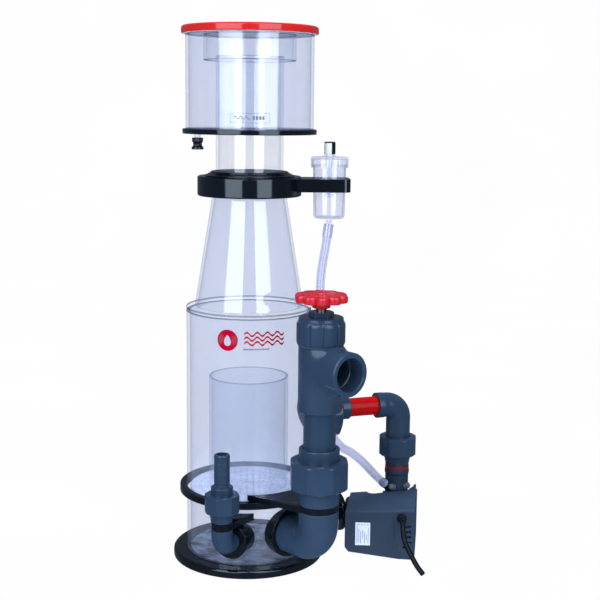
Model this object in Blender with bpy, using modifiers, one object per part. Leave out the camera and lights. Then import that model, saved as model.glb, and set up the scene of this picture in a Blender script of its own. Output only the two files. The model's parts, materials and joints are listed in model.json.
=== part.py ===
"""Protein skimmer with an external recirculating pump, built as separate pieces.

Frame: metres, +Z up, origin on the floor under the middle of the round body.
The body axis is the Z axis. The outlet stack stands at the front right (+X, -Y),
the inlet at the front left and the pump at the right.
Sizes below are in millimetres and are scaled by MM where a mesh is made.
"""
import math

import bmesh
import bpy
from mathutils import Matrix, Vector

MM = 0.001
GAP = 0.3                 # clearance between neighbouring pieces
BIG = 36                  # sides of the large turned pieces
MEDIUM = 24               # sides of pipes, sockets and nuts
ELBOW = 18                # sides of the swept elbows
SMALL = 12                # sides of nipples, shafts and small bores
SEAT = 72                 # sides of the cutter that seats a piece on the round body
TRIM = 400.0              # edge of the cubes that trim a piece to a plane

# ---- driving dimensions: body -------------------------------------------------
BASE_R = 91.5
BASE_TOP = 10.0
BODY_R = 75.0
BODY_WALL = 4.0
BODY_TOP = 305.0
TOP_PLATE_T = 5.0
RING_R = 83.5
RING_Z = (81.6, 90.0)
BUBBLE_PLATE_Z = (82.2, 87.2)
INNER_TUBE_R = 48.0
INNER_TUBE_TOP = 223.8
CONE_R = (65.0, 44.0)     # outer radius at the foot and at the collar
CONE_WALL = 3.0
COLLAR_R = 61.5
COLLAR_BORE_R = 41.5
COLLAR_Z = (441.6, 464.7)
O_RING_Z = 453.0

# ---- cup ----------------------------------------------------------------------
NECK_R = 39.8
NECK_WALL = 3.0
NECK_Z = (444.0, 603.0)
NECK_RING_R = (53.0, 45.0)
NECK_RING_TOP = 470.5
CUP_FLOOR_R = 78.7
CUP_FLOOR_Z = (513.7, 519.5)
CUP_R = 75.0
CUP_WALL = 3.5
CUP_TOP = 627.7
LID_R = 79.8
LID_Z = (628.0, 637.0)
SKIRT_R = 54.0
SKIRT_BOTTOM = 598.0
DRAIN_XY = (-60.5, -14.0)

# ---- silencer -----------------------------------------------------------------
SILENCER_X = 94.6
ARM_Z = (447.3, 462.6)
ARM_END_X = 118.5
ARM_HALF_WIDTH = 25.0
SILENCER_R = (20.15, 18.2)          # outer radius at the top and at the bottom
SILENCER_Z = (415.5, 478.7)
SILENCER_LID_R = 22.2
SILENCER_LID_Z = (479.0, 488.3)
INTAKE_R = 5.8
INTAKE_Z = (440.0, 500.0)
ADJUSTER_Z = (491.0, 505.5)

# ---- outlet stack -------------------------------------------------------------
OUTLET_XY = (80.5, -105.0)
OUTLET_LEG_Z = 48.0
OUTLET_PIPE_R = 18.5
OUTLET_SOCKET_R = 23.4
OUTLET_PLATE_Z = (90.3, 97.3)
OUTLET_NUT_Z = (115.7, 149.5)
TEE_R = 25.1
TEE_Z = (206.5, 281.0)
BRANCH_Z = 256.5
BRANCH_LENGTH = 50.5
BONNET_R = 27.5
BONNET_Z = (282.2, 310.8)
WHEEL_R = 30.4
WHEEL_Z = (331.2, 341.5)
WHEEL_LOBES = 10

# ---- inlet --------------------------------------------------------------------
INLET_XY = (-30.0, -103.5)
INLET_LEG_AZIMUTH = 64.0            # direction of the leg towards the body, degrees from +X
INLET_LEG_Z = 45.0
INLET_LEG_LENGTH = 25.5
INLET_R = 12.2
INLET_PLATE_Z = (66.8, 75.0)
INLET_NUT_Z = (87.0, 108.5)
NIPPLE_R = 9.3
NIPPLE_TOP = 155.3

# ---- return line and pump -----------------------------------------------------
RETURN_AZIMUTH = 17.5               # direction of the pump plane, degrees from +X
RETURN_Z = 173.0
RISER_RHO = 200.5                   # distance of the pump riser from the body axis
RETURN_NUT_RHO = (79.5, 112.0)
RED_PIPE_R = 11.6
SMALL_ELBOW_R = 15.4
PUMP_NUT_Z = (106.5, 131.0)
DISCHARGE_Z = 38.5
PUMP_TOP = 63.0
PUMP_FRONT_Y = -35.5
PUMP_FRONT_X = (117.0, 203.0)
PUMP_SIDE_SHEAR = 0.163             # the sides lean to +X by this much for each unit of +Y
HOUSING_REAR = -15.3                # the housing's rear plane, from the pump plane
WET_END_U = (-66.0, 20.0)           # along the pump plane, from the riser
WET_END_V = (-14.0, 15.5)           # across the pump plane
WET_END_TOP = 52.0
NECK_PORT_R = 14.8
ROTOR_OFFSET = 38.0                 # the rotor axis crosses the pump plane this far from the riser
ROTOR_Z = 34.0

CORD_EXIT = (186.0, PUMP_FRONT_Y, 54.0)


# ---- derived places -----------------------------------------------------------
def polar(radius, azimuth, z=0.0):
    """A point at a radius and a direction in degrees from +X."""
    angle = math.radians(azimuth)
    return Vector((radius * math.cos(angle), radius * math.sin(angle), z))


def azimuth_of(x, y):
    return math.degrees(math.atan2(y, x))


OUTLET_AZIMUTH = azimuth_of(*OUTLET_XY)
INLET_LEG_END = Vector((*INLET_XY, 0)) + polar(INLET_LEG_LENGTH, INLET_LEG_AZIMUTH)
INLET_PORT_AZIMUTH = azimuth_of(INLET_LEG_END.x, INLET_LEG_END.y)

# ---- finishes: colour, roughness and metallic value ----------------------------
COLOURS = {
    "clear": ((0.80, 0.84, 0.93, 0.3), 0.04, 0.0),
    "black_acrylic": ((0.012, 0.016, 0.024, 1.0), 0.12, 0.0),
    "slate_pvc": ((0.045, 0.07, 0.105, 1.0), 0.38, 0.0),
    "red_acrylic": ((0.75, 0.01, 0.006, 1.0), 0.12, 0.0),
    "red_plastic": ((0.72, 0.01, 0.02, 1.0), 0.3, 0.0),
    "pump_plastic": ((0.05, 0.065, 0.10, 1.0), 0.5, 0.0),
    "black_plastic": ((0.02, 0.02, 0.024, 1.0), 0.45, 0.0),
    "rubber": ((0.015, 0.015, 0.015, 1.0), 0.7, 0.0),
    "hose": ((0.80, 0.82, 0.92, 0.6), 0.25, 0.0),
    "steel": ((0.55, 0.55, 0.56, 1.0), 0.3, 1.0),
    "magnet": ((0.10, 0.10, 0.11, 1.0), 0.45, 0.6),
    "ceramic": ((0.85, 0.84, 0.80, 1.0), 0.25, 0.0),
    "copper": ((0.55, 0.22, 0.10, 1.0), 0.4, 0.8),
}


# ---- scene helpers ------------------------------------------------------------
def clear_scene():
    for obj in list(bpy.data.objects):
        bpy.data.objects.remove(obj, do_unlink=True)


def new_collection(name):
    collection = bpy.data.collections.new(name)
    bpy.context.scene.collection.children.link(collection)
    return collection


clear_scene()
PARTS = new_collection("protein_skimmer")
CUTTERS = new_collection("cutters")


def new_material(name, finish):
    colour, roughness, metallic = COLOURS[finish]
    material = bpy.data.materials.new(name)
    material.use_nodes = True
    shader = material.node_tree.nodes["Principled BSDF"]
    shader.inputs["Base Color"].default_value = colour
    shader.inputs["Alpha"].default_value = colour[3]
    shader.inputs["Roughness"].default_value = roughness
    shader.inputs["Metallic"].default_value = metallic
    return material


def finish_part(obj, finish):
    """Gives the object its own material and puts it with the parts."""
    PARTS.objects.link(obj)
    obj.data.materials.clear()
    obj.data.materials.append(new_material(obj.name, finish))
    return obj


def hide_cutter(obj):
    CUTTERS.objects.link(obj)
    obj.hide_render = True
    obj.display_type = "WIRE"
    return obj


def aim(obj, origin=(0, 0, 0), direction=(0, 0, 1)):
    """Puts the object's own origin at a point, with its +Z along a direction."""
    turn = Vector(direction).to_track_quat("Z", "Y").to_matrix().to_4x4()
    obj.matrix_world = Matrix.Translation(Vector(origin) * MM) @ turn
    return obj


# ---- shape helpers ------------------------------------------------------------
def turned_mesh(name, profile, steps, closed):
    """A profile of (radius, height) points, running down the outer side, turned about Z."""
    mesh = bpy.data.meshes.new(name)
    points = [(r * MM, 0.0, z * MM) for r, z in profile]
    edges = [(i, i + 1) for i in range(len(points) - 1)]
    if closed:
        edges.append((len(points) - 1, 0))
    mesh.from_pydata(points, edges, [])
    obj = bpy.data.objects.new(name, mesh)
    screw = obj.modifiers.new("turn", "SCREW")
    screw.axis = "Z"
    screw.angle = 2 * math.pi
    screw.steps = steps
    screw.render_steps = steps
    screw.use_merge_vertices = True
    screw.merge_threshold = 0.00001
    screw.use_smooth_shade = True
    return obj


def solid(name, finish, profile, steps=32, origin=(0, 0, 0), direction=(0, 0, 1)):
    """A turned piece without a bore: the profile starts and ends on the axis."""
    return finish_part(aim(turned_mesh(name, profile, steps, False), origin, direction), finish)


def ring(name, finish, outer, inner, steps=32, origin=(0, 0, 0), direction=(0, 0, 1)):
    """A turned piece with a bore: both profiles are listed from top to bottom."""
    profile = list(outer) + list(reversed(inner))
    return finish_part(aim(turned_mesh(name, profile, steps, True), origin, direction), finish)


def tube(name, finish, radius, bore, z0, z1, steps=32, origin=(0, 0, 0), direction=(0, 0, 1)):
    return ring(name, finish, [(radius, z1), (radius, z0)], [(bore, z1), (bore, z0)],
                steps, origin, direction)


def rod_cutter(name, radius, z0, z1, steps=32, origin=(0, 0, 0), direction=(0, 0, 1)):
    profile = [(0, z1), (radius, z1), (radius, z0), (0, z0)]
    return hide_cutter(aim(turned_mesh(name, profile, steps, False), origin, direction))


def combine(obj, other, operation="DIFFERENCE"):
    modifier = obj.modifiers.new(operation.lower(), "BOOLEAN")
    modifier.operation = operation
    modifier.solver = "EXACT"
    modifier.object = other
    return obj


def join_rod(obj, name, radius, z0, z1, steps=32, origin=(0, 0, 0), direction=(0, 0, 1)):
    return combine(obj, rod_cutter(name, radius, z0, z1, steps, origin, direction), "UNION")


def cut_rod(obj, name, radius, z0, z1, steps=32, origin=(0, 0, 0), direction=(0, 0, 1)):
    return combine(obj, rod_cutter(name, radius, z0, z1, steps, origin, direction))


def swept_mesh(name, path, radius, sides):
    """A round bar along a path of points, made a mesh so that it can be cut."""
    curve = bpy.data.curves.new(name + "_path", "CURVE")
    curve.dimensions = "3D"
    curve.bevel_depth = radius * MM
    curve.bevel_resolution = (sides - 4) // 2
    curve.use_fill_caps = True
    spline = curve.splines.new("POLY")
    spline.points.add(len(path) - 1)
    for point, place in zip(spline.points, path):
        point.co = (place[0] * MM, place[1] * MM, place[2] * MM, 1.0)
    guide = bpy.data.objects.new(name + "_guide", curve)
    CUTTERS.objects.link(guide)
    depsgraph = bpy.context.evaluated_depsgraph_get()
    mesh = bpy.data.meshes.new_from_object(guide.evaluated_get(depsgraph))
    bpy.data.objects.remove(guide, do_unlink=True)
    work = bmesh.new()
    work.from_mesh(mesh)
    bmesh.ops.remove_doubles(work, verts=work.verts, dist=0.000005)
    bmesh.ops.recalc_face_normals(work, faces=work.faces)
    work.to_mesh(mesh)
    work.free()
    mesh.name = name
    return bpy.data.objects.new(name, mesh)


def swept_part(name, finish, path, radius, sides):
    return finish_part(swept_mesh(name, path, radius, sides), finish)


def bend(start, corner, end, radius, parts):
    """A path from start to end that rounds its corner with an arc."""
    start, corner, end = Vector(start), Vector(corner), Vector(end)
    back = (start - corner).normalized()
    ahead = (end - corner).normalized()
    centre = corner + (back + ahead) * radius
    path = [start]
    for step in range(parts + 1):
        angle = math.pi / 2 * step / parts
        path.append(centre - ahead * radius * math.cos(angle) - back * radius * math.sin(angle))
    path.append(end)
    return path


def extend(path, length):
    """The same path with both ends pushed out, for a bore that passes the ends."""
    first, last = path[0], path[-1]
    head = first + (first - path[1]).normalized() * length
    tail = last + (last - path[-2]).normalized() * length
    return [head] + path[1:-1] + [tail]


def hollow_elbow(name, finish, path, radius, bore, sides):
    obj = swept_part(name, finish, path, radius, sides)
    return combine(obj, hide_cutter(swept_mesh(name + "_bore", extend(path, 5), bore, sides)))


def slab_mesh(name, outline, z0, z1):
    """A flat outline of (x, y) points, extruded from z0 to z1."""
    curve = bpy.data.curves.new(name + "_outline", "CURVE")
    curve.dimensions = "2D"
    curve.fill_mode = "BOTH"
    curve.extrude = (z1 - z0) / 2 * MM
    spline = curve.splines.new("POLY")
    spline.points.add(len(outline) - 1)
    for point, (x, y) in zip(spline.points, outline):
        point.co = (x * MM, y * MM, 0.0, 1.0)
    spline.use_cyclic_u = True
    guide = bpy.data.objects.new(name + "_guide", curve)
    CUTTERS.objects.link(guide)
    depsgraph = bpy.context.evaluated_depsgraph_get()
    mesh = bpy.data.meshes.new_from_object(guide.evaluated_get(depsgraph))
    bpy.data.objects.remove(guide, do_unlink=True)
    work = bmesh.new()
    work.from_mesh(mesh)
    bmesh.ops.translate(work, verts=work.verts, vec=(0, 0, (z0 + z1) / 2 * MM))
    bmesh.ops.remove_doubles(work, verts=work.verts, dist=0.000005)
    bmesh.ops.recalc_face_normals(work, faces=work.faces)
    work.to_mesh(mesh)
    work.free()
    return bpy.data.objects.new(name, mesh)


def slab(name, finish, outline, z0, z1):
    return finish_part(slab_mesh(name, outline, z0, z1), finish)


def arc(cx, cy, radius, a0, a1, parts):
    """Points on an arc, from angle a0 to a1 in degrees."""
    angles = [math.radians(a0 + (a1 - a0) * i / parts) for i in range(parts + 1)]
    return [(cx + radius * math.cos(a), cy + radius * math.sin(a)) for a in angles]


def o_ring(name, centre_r, section_r, z):
    """A ring seal: a small circle turned about the Z axis."""
    profile = [(centre_r + section_r * math.cos(a * math.pi / 3),
                z - section_r * math.sin(a * math.pi / 3)) for a in range(6)]
    return finish_part(turned_mesh(name, profile, MEDIUM, True), "rubber")


# ---- body ---------------------------------------------------------------------
def wall_port(body, name, radius, azimuth, z):
    """Bores one wall of the round body where a leg enters it."""
    cut_rod(body, name, radius, 58, 92, MEDIUM, (0, 0, z), polar(1, azimuth))


def build_body():
    solid("base_plate", "black_acrylic",
          [(0, BASE_TOP), (BASE_R - 0.8, BASE_TOP), (BASE_R, BASE_TOP - 0.8),
           (BASE_R, 0.8), (BASE_R - 0.8, 0), (0, 0)], BIG)
    body = tube("body_tube", "clear", BODY_R, BODY_R - BODY_WALL,
                BASE_TOP + GAP, BODY_TOP, BIG)
    wall_port(body, "outlet_port", 17, OUTLET_AZIMUTH, OUTLET_LEG_Z)
    wall_port(body, "inlet_port", 8, INLET_PORT_AZIMUTH, INLET_LEG_Z)
    wall_port(body, "return_port", 15, RETURN_AZIMUTH, RETURN_Z)
    wall_port(body, "discharge_port", 8, RETURN_AZIMUTH, DISCHARGE_Z)
    tube("support_ring", "black_acrylic", RING_R, BODY_R + GAP, *RING_Z, BIG)
    bubble_plate = solid("bubble_plate", "clear",
                         [(0, BUBBLE_PLATE_Z[1]), (70.6, BUBBLE_PLATE_Z[1]),
                          (70.6, BUBBLE_PLATE_Z[0]), (0, BUBBLE_PLATE_Z[0])], BIG)
    combine(bubble_plate, hole_field())
    tube("inner_tube", "clear", INNER_TUBE_R, INNER_TUBE_R - 3,
         BUBBLE_PLATE_Z[1] + GAP, INNER_TUBE_TOP, BIG)
    tube("body_top_plate", "clear", BODY_R, 60, BODY_TOP + GAP, BODY_TOP + TOP_PLATE_T, BIG)
    cone_foot = BODY_TOP + TOP_PLATE_T + GAP
    cone_top = COLLAR_Z[0] - GAP
    ring("cone", "clear", [(CONE_R[1], cone_top), (CONE_R[0], cone_foot)],
         [(CONE_R[1] - CONE_WALL, cone_top), (CONE_R[0] - CONE_WALL, cone_foot)], BIG)
    ring("collar", "black_acrylic",
         [(COLLAR_R - 0.8, COLLAR_Z[1]), (COLLAR_R, COLLAR_Z[1] - 0.8),
          (COLLAR_R, COLLAR_Z[0] + 0.8), (COLLAR_R - 0.8, COLLAR_Z[0])],
         [(COLLAR_BORE_R, COLLAR_Z[1]), (COLLAR_BORE_R, O_RING_Z + 2.4),
          (44.4, O_RING_Z + 2.4), (44.4, O_RING_Z - 2.4),
          (COLLAR_BORE_R, O_RING_Z - 2.4), (COLLAR_BORE_R, COLLAR_Z[0])], BIG)
    o_ring("collar_o_ring", 42.2, 1.9, O_RING_Z)


def hole_field():
    """The bubble plate's holes: rings of small prisms joined in one cutter."""
    work = bmesh.new()
    thickness = (BUBBLE_PLATE_Z[1] - BUBBLE_PLATE_Z[0] + 4) * MM
    middle = (BUBBLE_PLATE_Z[0] + BUBBLE_PLATE_Z[1]) / 2
    for ring_radius, count in ((0, 1), (20, 6), (58.5, 10)):
        for i in range(count):
            spot = polar(ring_radius, 360 * i / count, middle) * MM
            bmesh.ops.create_cone(work, cap_ends=True, segments=6, radius1=3.6 * MM,
                                  radius2=3.6 * MM, depth=thickness,
                                  matrix=Matrix.Translation(spot))
    mesh = bpy.data.meshes.new("plate_holes")
    work.to_mesh(mesh)
    work.free()
    return hide_cutter(bpy.data.objects.new("plate_holes", mesh))


# ---- cup ----------------------------------------------------------------------
def build_cup():
    neck_bore = NECK_R + GAP
    ring("neck_ring", "black_acrylic",
         [(NECK_RING_R[1], NECK_RING_TOP), (NECK_RING_R[0], COLLAR_Z[1] + 1.2),
          (NECK_RING_R[0], COLLAR_Z[1] + GAP)],
         [(neck_bore, NECK_RING_TOP), (neck_bore, COLLAR_Z[1] + GAP)], BIG)
    tube("neck_tube", "clear", NECK_R, NECK_R - NECK_WALL, *NECK_Z, BIG)
    floor = tube("cup_floor", "black_acrylic", CUP_FLOOR_R, neck_bore, *CUP_FLOOR_Z, BIG)
    drain = (DRAIN_XY[0], DRAIN_XY[1], 0)
    cut_rod(floor, "drain_hole", 4.5, 505, 525, SMALL, drain)
    tube("cup_tube", "clear", CUP_R, CUP_R - CUP_WALL, CUP_FLOOR_Z[1] + GAP, CUP_TOP, BIG)
    solid("lid", "red_acrylic",
          [(0, LID_Z[1]), (LID_R - 0.8, LID_Z[1]), (LID_R, LID_Z[1] - 0.8),
           (LID_R, LID_Z[0] + 0.6), (LID_R - 0.6, LID_Z[0]), (0, LID_Z[0])], BIG)
    tube("lid_skirt", "clear", SKIRT_R, SKIRT_R - 3, SKIRT_BOTTOM, LID_Z[0] - GAP, BIG)
    tube("drain_nipple", "clear", 4.2, 2.6, 499.0, CUP_FLOOR_Z[1] - 0.5, SMALL, drain)
    solid("drain_cap", "black_plastic",
          [(0, 498.6), (2.2, 498.6), (2.2, 498.0), (4.5, 498.0), (4.5, 509.2), (6.4, 509.2),
           (6.4, 504.2), (5.3, 503.6), (5.3, 499.0), (6.5, 498.2), (6.5, 495.6),
           (0, 495.6)], SMALL, drain)


# ---- silencer -----------------------------------------------------------------
def build_silencer():
    corner = 8.0
    outline = ([(50, -ARM_HALF_WIDTH)]
               + arc(ARM_END_X - corner, -ARM_HALF_WIDTH + corner, corner, -90, 0, 5)
               + arc(ARM_END_X - corner, ARM_HALF_WIDTH - corner, corner, 0, 90, 5)
               + [(50, ARM_HALF_WIDTH)])
    arm = slab("silencer_arm", "black_acrylic", outline, *ARM_Z)
    cut_rod(arm, "arm_collar_seat", COLLAR_R + GAP, 430, 480, SEAT)
    centre = (SILENCER_X, 0, 0)
    cut_rod(arm, "arm_cup_hole", 20.1, 430, 480, MEDIUM, centre)
    top_r, low_r = SILENCER_R
    low, top = SILENCER_Z
    ring("silencer_cup", "clear",
         [(top_r, top), (low_r, low), (3.3, low), (3.3, 406.5), (2.8, 405.5)],
         [(top_r - 1.6, top), (low_r - 1.6, low + 2), (1.8, low + 2), (1.8, 405.5)],
         MEDIUM, centre)
    lid_low, lid_top = SILENCER_LID_Z
    ring("silencer_lid", "clear",
         [(INTAKE_R, INTAKE_Z[1]), (INTAKE_R, lid_top), (SILENCER_LID_R, lid_top),
          (SILENCER_LID_R, lid_low - 3.5)],
         [(INTAKE_R - 1.4, INTAKE_Z[1]), (INTAKE_R - 1.4, INTAKE_Z[0]),
          (INTAKE_R, INTAKE_Z[0]), (INTAKE_R, lid_top - 3.0),
          (top_r + 0.5, lid_top - 3.0), (top_r + 0.5, lid_low - 3.5)], MEDIUM, centre)
    low, top = ADJUSTER_Z
    solid("air_adjuster", "black_plastic",
          [(0, top), (5.9, top), (6.7, top - 0.8), (6.7, low), (INTAKE_R + GAP, low),
           (INTAKE_R + GAP, INTAKE_Z[1] + GAP), (0, INTAKE_Z[1] + GAP)], SMALL, centre)


# ---- unions -------------------------------------------------------------------
def union(prefix, size, origin, direction, tail_from, spigot=None):
    """Threaded body and nut of a pipe union, and where its end connector's flange lies.

    size holds radii of the pipe bore, socket, thread and nut, and the start and end
    of the nut along the axis. The body starts at tail_from. A spigot is the radius,
    bore and start of the stub that plugs the body into the piece before it.
    """
    bore, socket, thread, nut, start, end = size
    length = end - start
    seat = start + length * 0.66
    lip = start + length * 0.80
    chamfer = length * 0.12
    outer = [(thread, seat), (thread, start + length * 0.12), (socket, start + length * 0.06),
             (socket, tail_from)]
    inner = [(bore, seat), (bore, tail_from)]
    if spigot:
        stub_r, stub_bore, stub_start = spigot
        outer += [(stub_r, tail_from), (stub_r, stub_start)]
        inner = [(stub_bore, seat), (stub_bore, stub_start)]
    ring(prefix + "_union_body", "slate_pvc", outer, inner, MEDIUM, origin, direction)
    ring(prefix + "_union_nut", "slate_pvc",
         [(nut - chamfer, end), (nut, end - chamfer), (nut, start + chamfer),
          (nut - chamfer, start)],
         [(socket + 0.6, end), (socket + 0.6, lip), (thread + 0.5, lip), (thread + 0.5, start)],
         MEDIUM, origin, direction)
    return seat + GAP, lip - GAP


def connector(name, size, span, end, origin, direction, neck, tip_bore):
    """The flanged end piece that a union nut clamps. neck lists its outer profile upwards."""
    bore, socket, thread = size[0], size[1], size[2]
    shoulder_low, shoulder_top = span
    outer = list(reversed(neck)) if neck else [(socket, end)]
    outer += [(socket, shoulder_top), (thread - 0.2, shoulder_top), (thread - 0.2, shoulder_low)]
    inner = [(tip_bore, end), (tip_bore, shoulder_top + 4), (bore, shoulder_top + 4),
             (bore, shoulder_low)]
    ring(name, "slate_pvc", outer, inner, MEDIUM, origin, direction)


# ---- outlet stack -------------------------------------------------------------
def build_outlet():
    axis = (OUTLET_XY[0], OUTLET_XY[1], 0)
    inward = -polar(1, OUTLET_AZIMUTH)
    saddle = ring("outlet_flange", "black_acrylic", [(29.0, 84.0), (29.0, 60.0)],
                  [(OUTLET_SOCKET_R + GAP, 84.0), (OUTLET_SOCKET_R + GAP, 60.0)], MEDIUM,
                  (0, 0, OUTLET_LEG_Z), -inward)
    cut_rod(saddle, "outlet_saddle_seat", BODY_R + GAP, 0, 120, SEAT)
    start = Vector((OUTLET_XY[0], OUTLET_XY[1], OUTLET_PLATE_Z[0] - GAP))
    corner = Vector((OUTLET_XY[0], OUTLET_XY[1], OUTLET_LEG_Z))
    end = polar(78.5, OUTLET_AZIMUTH, OUTLET_LEG_Z)
    hollow_elbow("outlet_elbow", "slate_pvc", bend(start, corner, end, 25, 6),
                 OUTLET_SOCKET_R - 0.2, OUTLET_PIPE_R + 0.6, ELBOW)
    build_plate("outlet_support_plate", OUTLET_XY, OUTLET_SOCKET_R, OUTLET_PIPE_R + GAP,
                OUTLET_PLATE_Z, 48.0)
    size = (OUTLET_PIPE_R + 0.4, OUTLET_SOCKET_R, 30.3, 34.8, *OUTLET_NUT_Z)
    spigot = (OUTLET_PIPE_R, OUTLET_PIPE_R - 3, 74.0)
    span = union("outlet", size, axis, (0, 0, 1), OUTLET_PLATE_Z[1] + GAP, spigot)
    connector("outlet_union_end", size, span, 163.5, axis, (0, 0, 1), None,
              OUTLET_PIPE_R + 0.4)
    tube("riser_pipe", "slate_pvc", OUTLET_PIPE_R, OUTLET_PIPE_R - 3, 145, 225, MEDIUM, axis)
    build_tee(axis)


def build_plate(name, centre, end_radius, bore, z_span, reach):
    """A flat bracket: round about a pipe at one end, seated on the body at the other."""
    out = polar(1, azimuth_of(*centre))
    side = Vector((-out.y, out.x, 0))
    middle = Vector((centre[0], centre[1], 0))
    outline = [tuple((middle + (side * math.cos(a) + out * math.sin(a)) * end_radius)[:2])
               for a in (math.pi * i / 12 for i in range(13))]
    foot = out * 55
    outline += [tuple((foot - side * reach)[:2]), tuple((foot + side * reach)[:2])]
    plate = slab(name, "black_acrylic", outline, *z_span)
    cut_rod(plate, name + "_bore", bore, 0, 200, MEDIUM, (centre[0], centre[1], 0))
    cut_rod(plate, name + "_seat", BODY_R + GAP, 0, 200, SEAT)


def build_tee(axis):
    low, top = TEE_Z
    branch = polar(1, OUTLET_AZIMUTH)
    tee = solid("valve_tee", "slate_pvc",
                [(0, 305.0), (24.5, 305.0), (24.5, top + 0.5), (TEE_R, top - 0.5),
                 (TEE_R, low), (0, low)], MEDIUM, axis)
    branch_origin = (axis[0], axis[1], BRANCH_Z)
    join_rod(tee, "branch_body", TEE_R, 0, BRANCH_LENGTH, MEDIUM, branch_origin, branch)
    cut_rod(tee, "tee_bore", 20.4, 227.0, 320, MEDIUM, axis)
    cut_rod(tee, "tee_socket", OUTLET_PIPE_R + GAP, 190, 230, MEDIUM, axis)
    cut_rod(tee, "branch_bore", 19.1, 0, BRANCH_LENGTH + 10, MEDIUM, branch_origin, branch)
    low, top = BONNET_Z
    ring("bonnet", "slate_pvc",
         [(25.0, 314.8), (25.4, 314.2), (25.4, top), (BONNET_R - 1.2, top),
          (BONNET_R, top - 1.2), (BONNET_R, low + 1.2), (BONNET_R - 1.2, low)],
         [(6.3, 314.8), (6.3, 305.4), (24.9, 305.4), (24.9, low)], MEDIUM, axis)
    packing = solid("packing_nut", "slate_pvc",
                    [(0, 320.8), (14.8, 320.8), (14.8, 315.1), (0, 315.1)], 6, axis)
    cut_rod(packing, "packing_bore", 6.3, 310, 325, SMALL, axis)
    ring("valve_plug", "black_plastic", [(20.0, 272.0), (20.0, 236.0)],
         [(3.6, 272.0), (3.6, 262.3), (7.3, 262.3), (7.3, 236.0)], MEDIUM, axis)
    solid("valve_stem", "steel",
          [(0, 336.0), (4.4, 336.0), (4.4, 327.0), (5.9, 327.0), (5.9, 272.6), (3.2, 272.6),
           (3.2, 262.0), (6.6, 262.0), (6.6, 256.0), (0, 256.0)], SMALL, axis)
    build_wheel(axis)


def build_wheel(axis):
    """The lobed handwheel: a disc with a waved rim, a hub under it and a bore for the stem."""
    low, top = WHEEL_Z
    work = bmesh.new()
    bmesh.ops.create_cone(work, cap_ends=True, segments=WHEEL_LOBES * 6, radius1=WHEEL_R * MM,
                          radius2=WHEEL_R * MM, depth=(top - low) * MM,
                          matrix=Matrix.Translation((0, 0, (low + top) / 2 * MM)))
    for vert in work.verts:
        angle = math.atan2(vert.co.y, vert.co.x) + math.pi / 2
        wave = 0.5 + 0.5 * math.cos(WHEEL_LOBES * angle)
        shrink = 1 - 4.4 / WHEEL_R * (1 - wave ** 0.6)
        vert.co.x *= shrink
        vert.co.y *= shrink
    mesh = bpy.data.meshes.new("handwheel")
    work.to_mesh(mesh)
    work.free()
    wheel = finish_part(aim(bpy.data.objects.new("handwheel", mesh), axis), "red_plastic")
    join_rod(wheel, "wheel_hub", 9.7, 324.6, low + 2, MEDIUM, axis)
    cut_rod(wheel, "wheel_bore", 4.7, 326.7, top + 5, SMALL, axis)
    cut_rod(wheel, "wheel_hub_bore", 6.2, 320.0, 327.3, SMALL, axis)


# ---- inlet --------------------------------------------------------------------
def build_inlet():
    axis = (INLET_XY[0], INLET_XY[1], 0)
    top = Vector((INLET_XY[0], INLET_XY[1], INLET_PLATE_Z[0] - GAP))
    corner = Vector((INLET_XY[0], INLET_XY[1], INLET_LEG_Z))
    leg = polar(1, INLET_LEG_AZIMUTH)
    end = corner + leg * INLET_LEG_LENGTH
    saddle = ring("inlet_flange", "black_acrylic", [(21.4, 6.0), (21.4, -20.0)],
                  [(INLET_R + GAP, 6.0), (INLET_R + GAP, -20.0)], MEDIUM, end, -leg)
    cut_rod(saddle, "inlet_saddle_seat", BODY_R + GAP, 0, 120, SEAT)
    hollow_elbow("inlet_elbow", "slate_pvc", bend(top, corner, end, 13, 5),
                 INLET_R, 9.0, SMALL + 2)
    build_plate("inlet_support_plate", INLET_XY, INLET_R + 0.2, 9.4, INLET_PLATE_Z, 33.0)
    size = (9.0, INLET_R, 17.2, 20.6, *INLET_NUT_Z)
    span = union("inlet", size, axis, (0, 0, 1), INLET_PLATE_Z[1] + GAP, (8.6, 6.6, 58.5))
    neck = [(12.6, 117.0), (10.6, 118.4), (NIPPLE_R - 0.5, 118.4), (NIPPLE_R - 0.5, 150.0),
            (NIPPLE_R, 150.6), (NIPPLE_R - 0.9, NIPPLE_TOP)]
    connector("inlet_hose_tail", size, span, NIPPLE_TOP, axis, (0, 0, 1), neck, 6.6)


# ---- return line --------------------------------------------------------------
def build_return():
    out = polar(1, RETURN_AZIMUTH)
    origin = (0, 0, RETURN_Z)
    size = (16.0, 24.0, 31.2, 36.0, *RETURN_NUT_RHO)
    span = union("return", size, origin, out, 62.0)
    body = bpy.data.objects["return_union_body"]
    cut_rod(body, "return_saddle_seat", BODY_R + GAP, 100, 250, SEAT)
    neck = [(24.0, 116.0), (22.5, 117.5), (14.2, 117.5), (14.2, 130.4), (13.6, 131.0)]
    connector("return_union_end", size, span, 131.0, origin, out, neck, RED_PIPE_R + GAP)
    tube("return_pipe", "red_acrylic", RED_PIPE_R, RED_PIPE_R - 2.2, 113.0, 180.0, MEDIUM,
         origin, out)
    riser = polar(RISER_RHO, RETURN_AZIMUTH)
    start = polar(169.0, RETURN_AZIMUTH, RETURN_Z)
    corner = Vector((riser.x, riser.y, RETURN_Z))
    end = Vector((riser.x, riser.y, PUMP_NUT_Z[1] - 8.9))
    path = bend(start, corner, end, 16.5, 5)
    elbow = swept_part("return_elbow", "slate_pvc", path, SMALL_ELBOW_R, ELBOW)
    flange_top = PUMP_NUT_Z[1] - 5.4
    join_rod(elbow, "elbow_flange", 20.8, PUMP_NUT_Z[1] - 9.0, flange_top, ELBOW,
             (riser.x, riser.y, 0))
    combine(elbow, hide_cutter(swept_mesh("return_elbow_bore", extend(path, 5),
                                          RED_PIPE_R + 0.4, ELBOW)))
    build_pump_union(riser)


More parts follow.
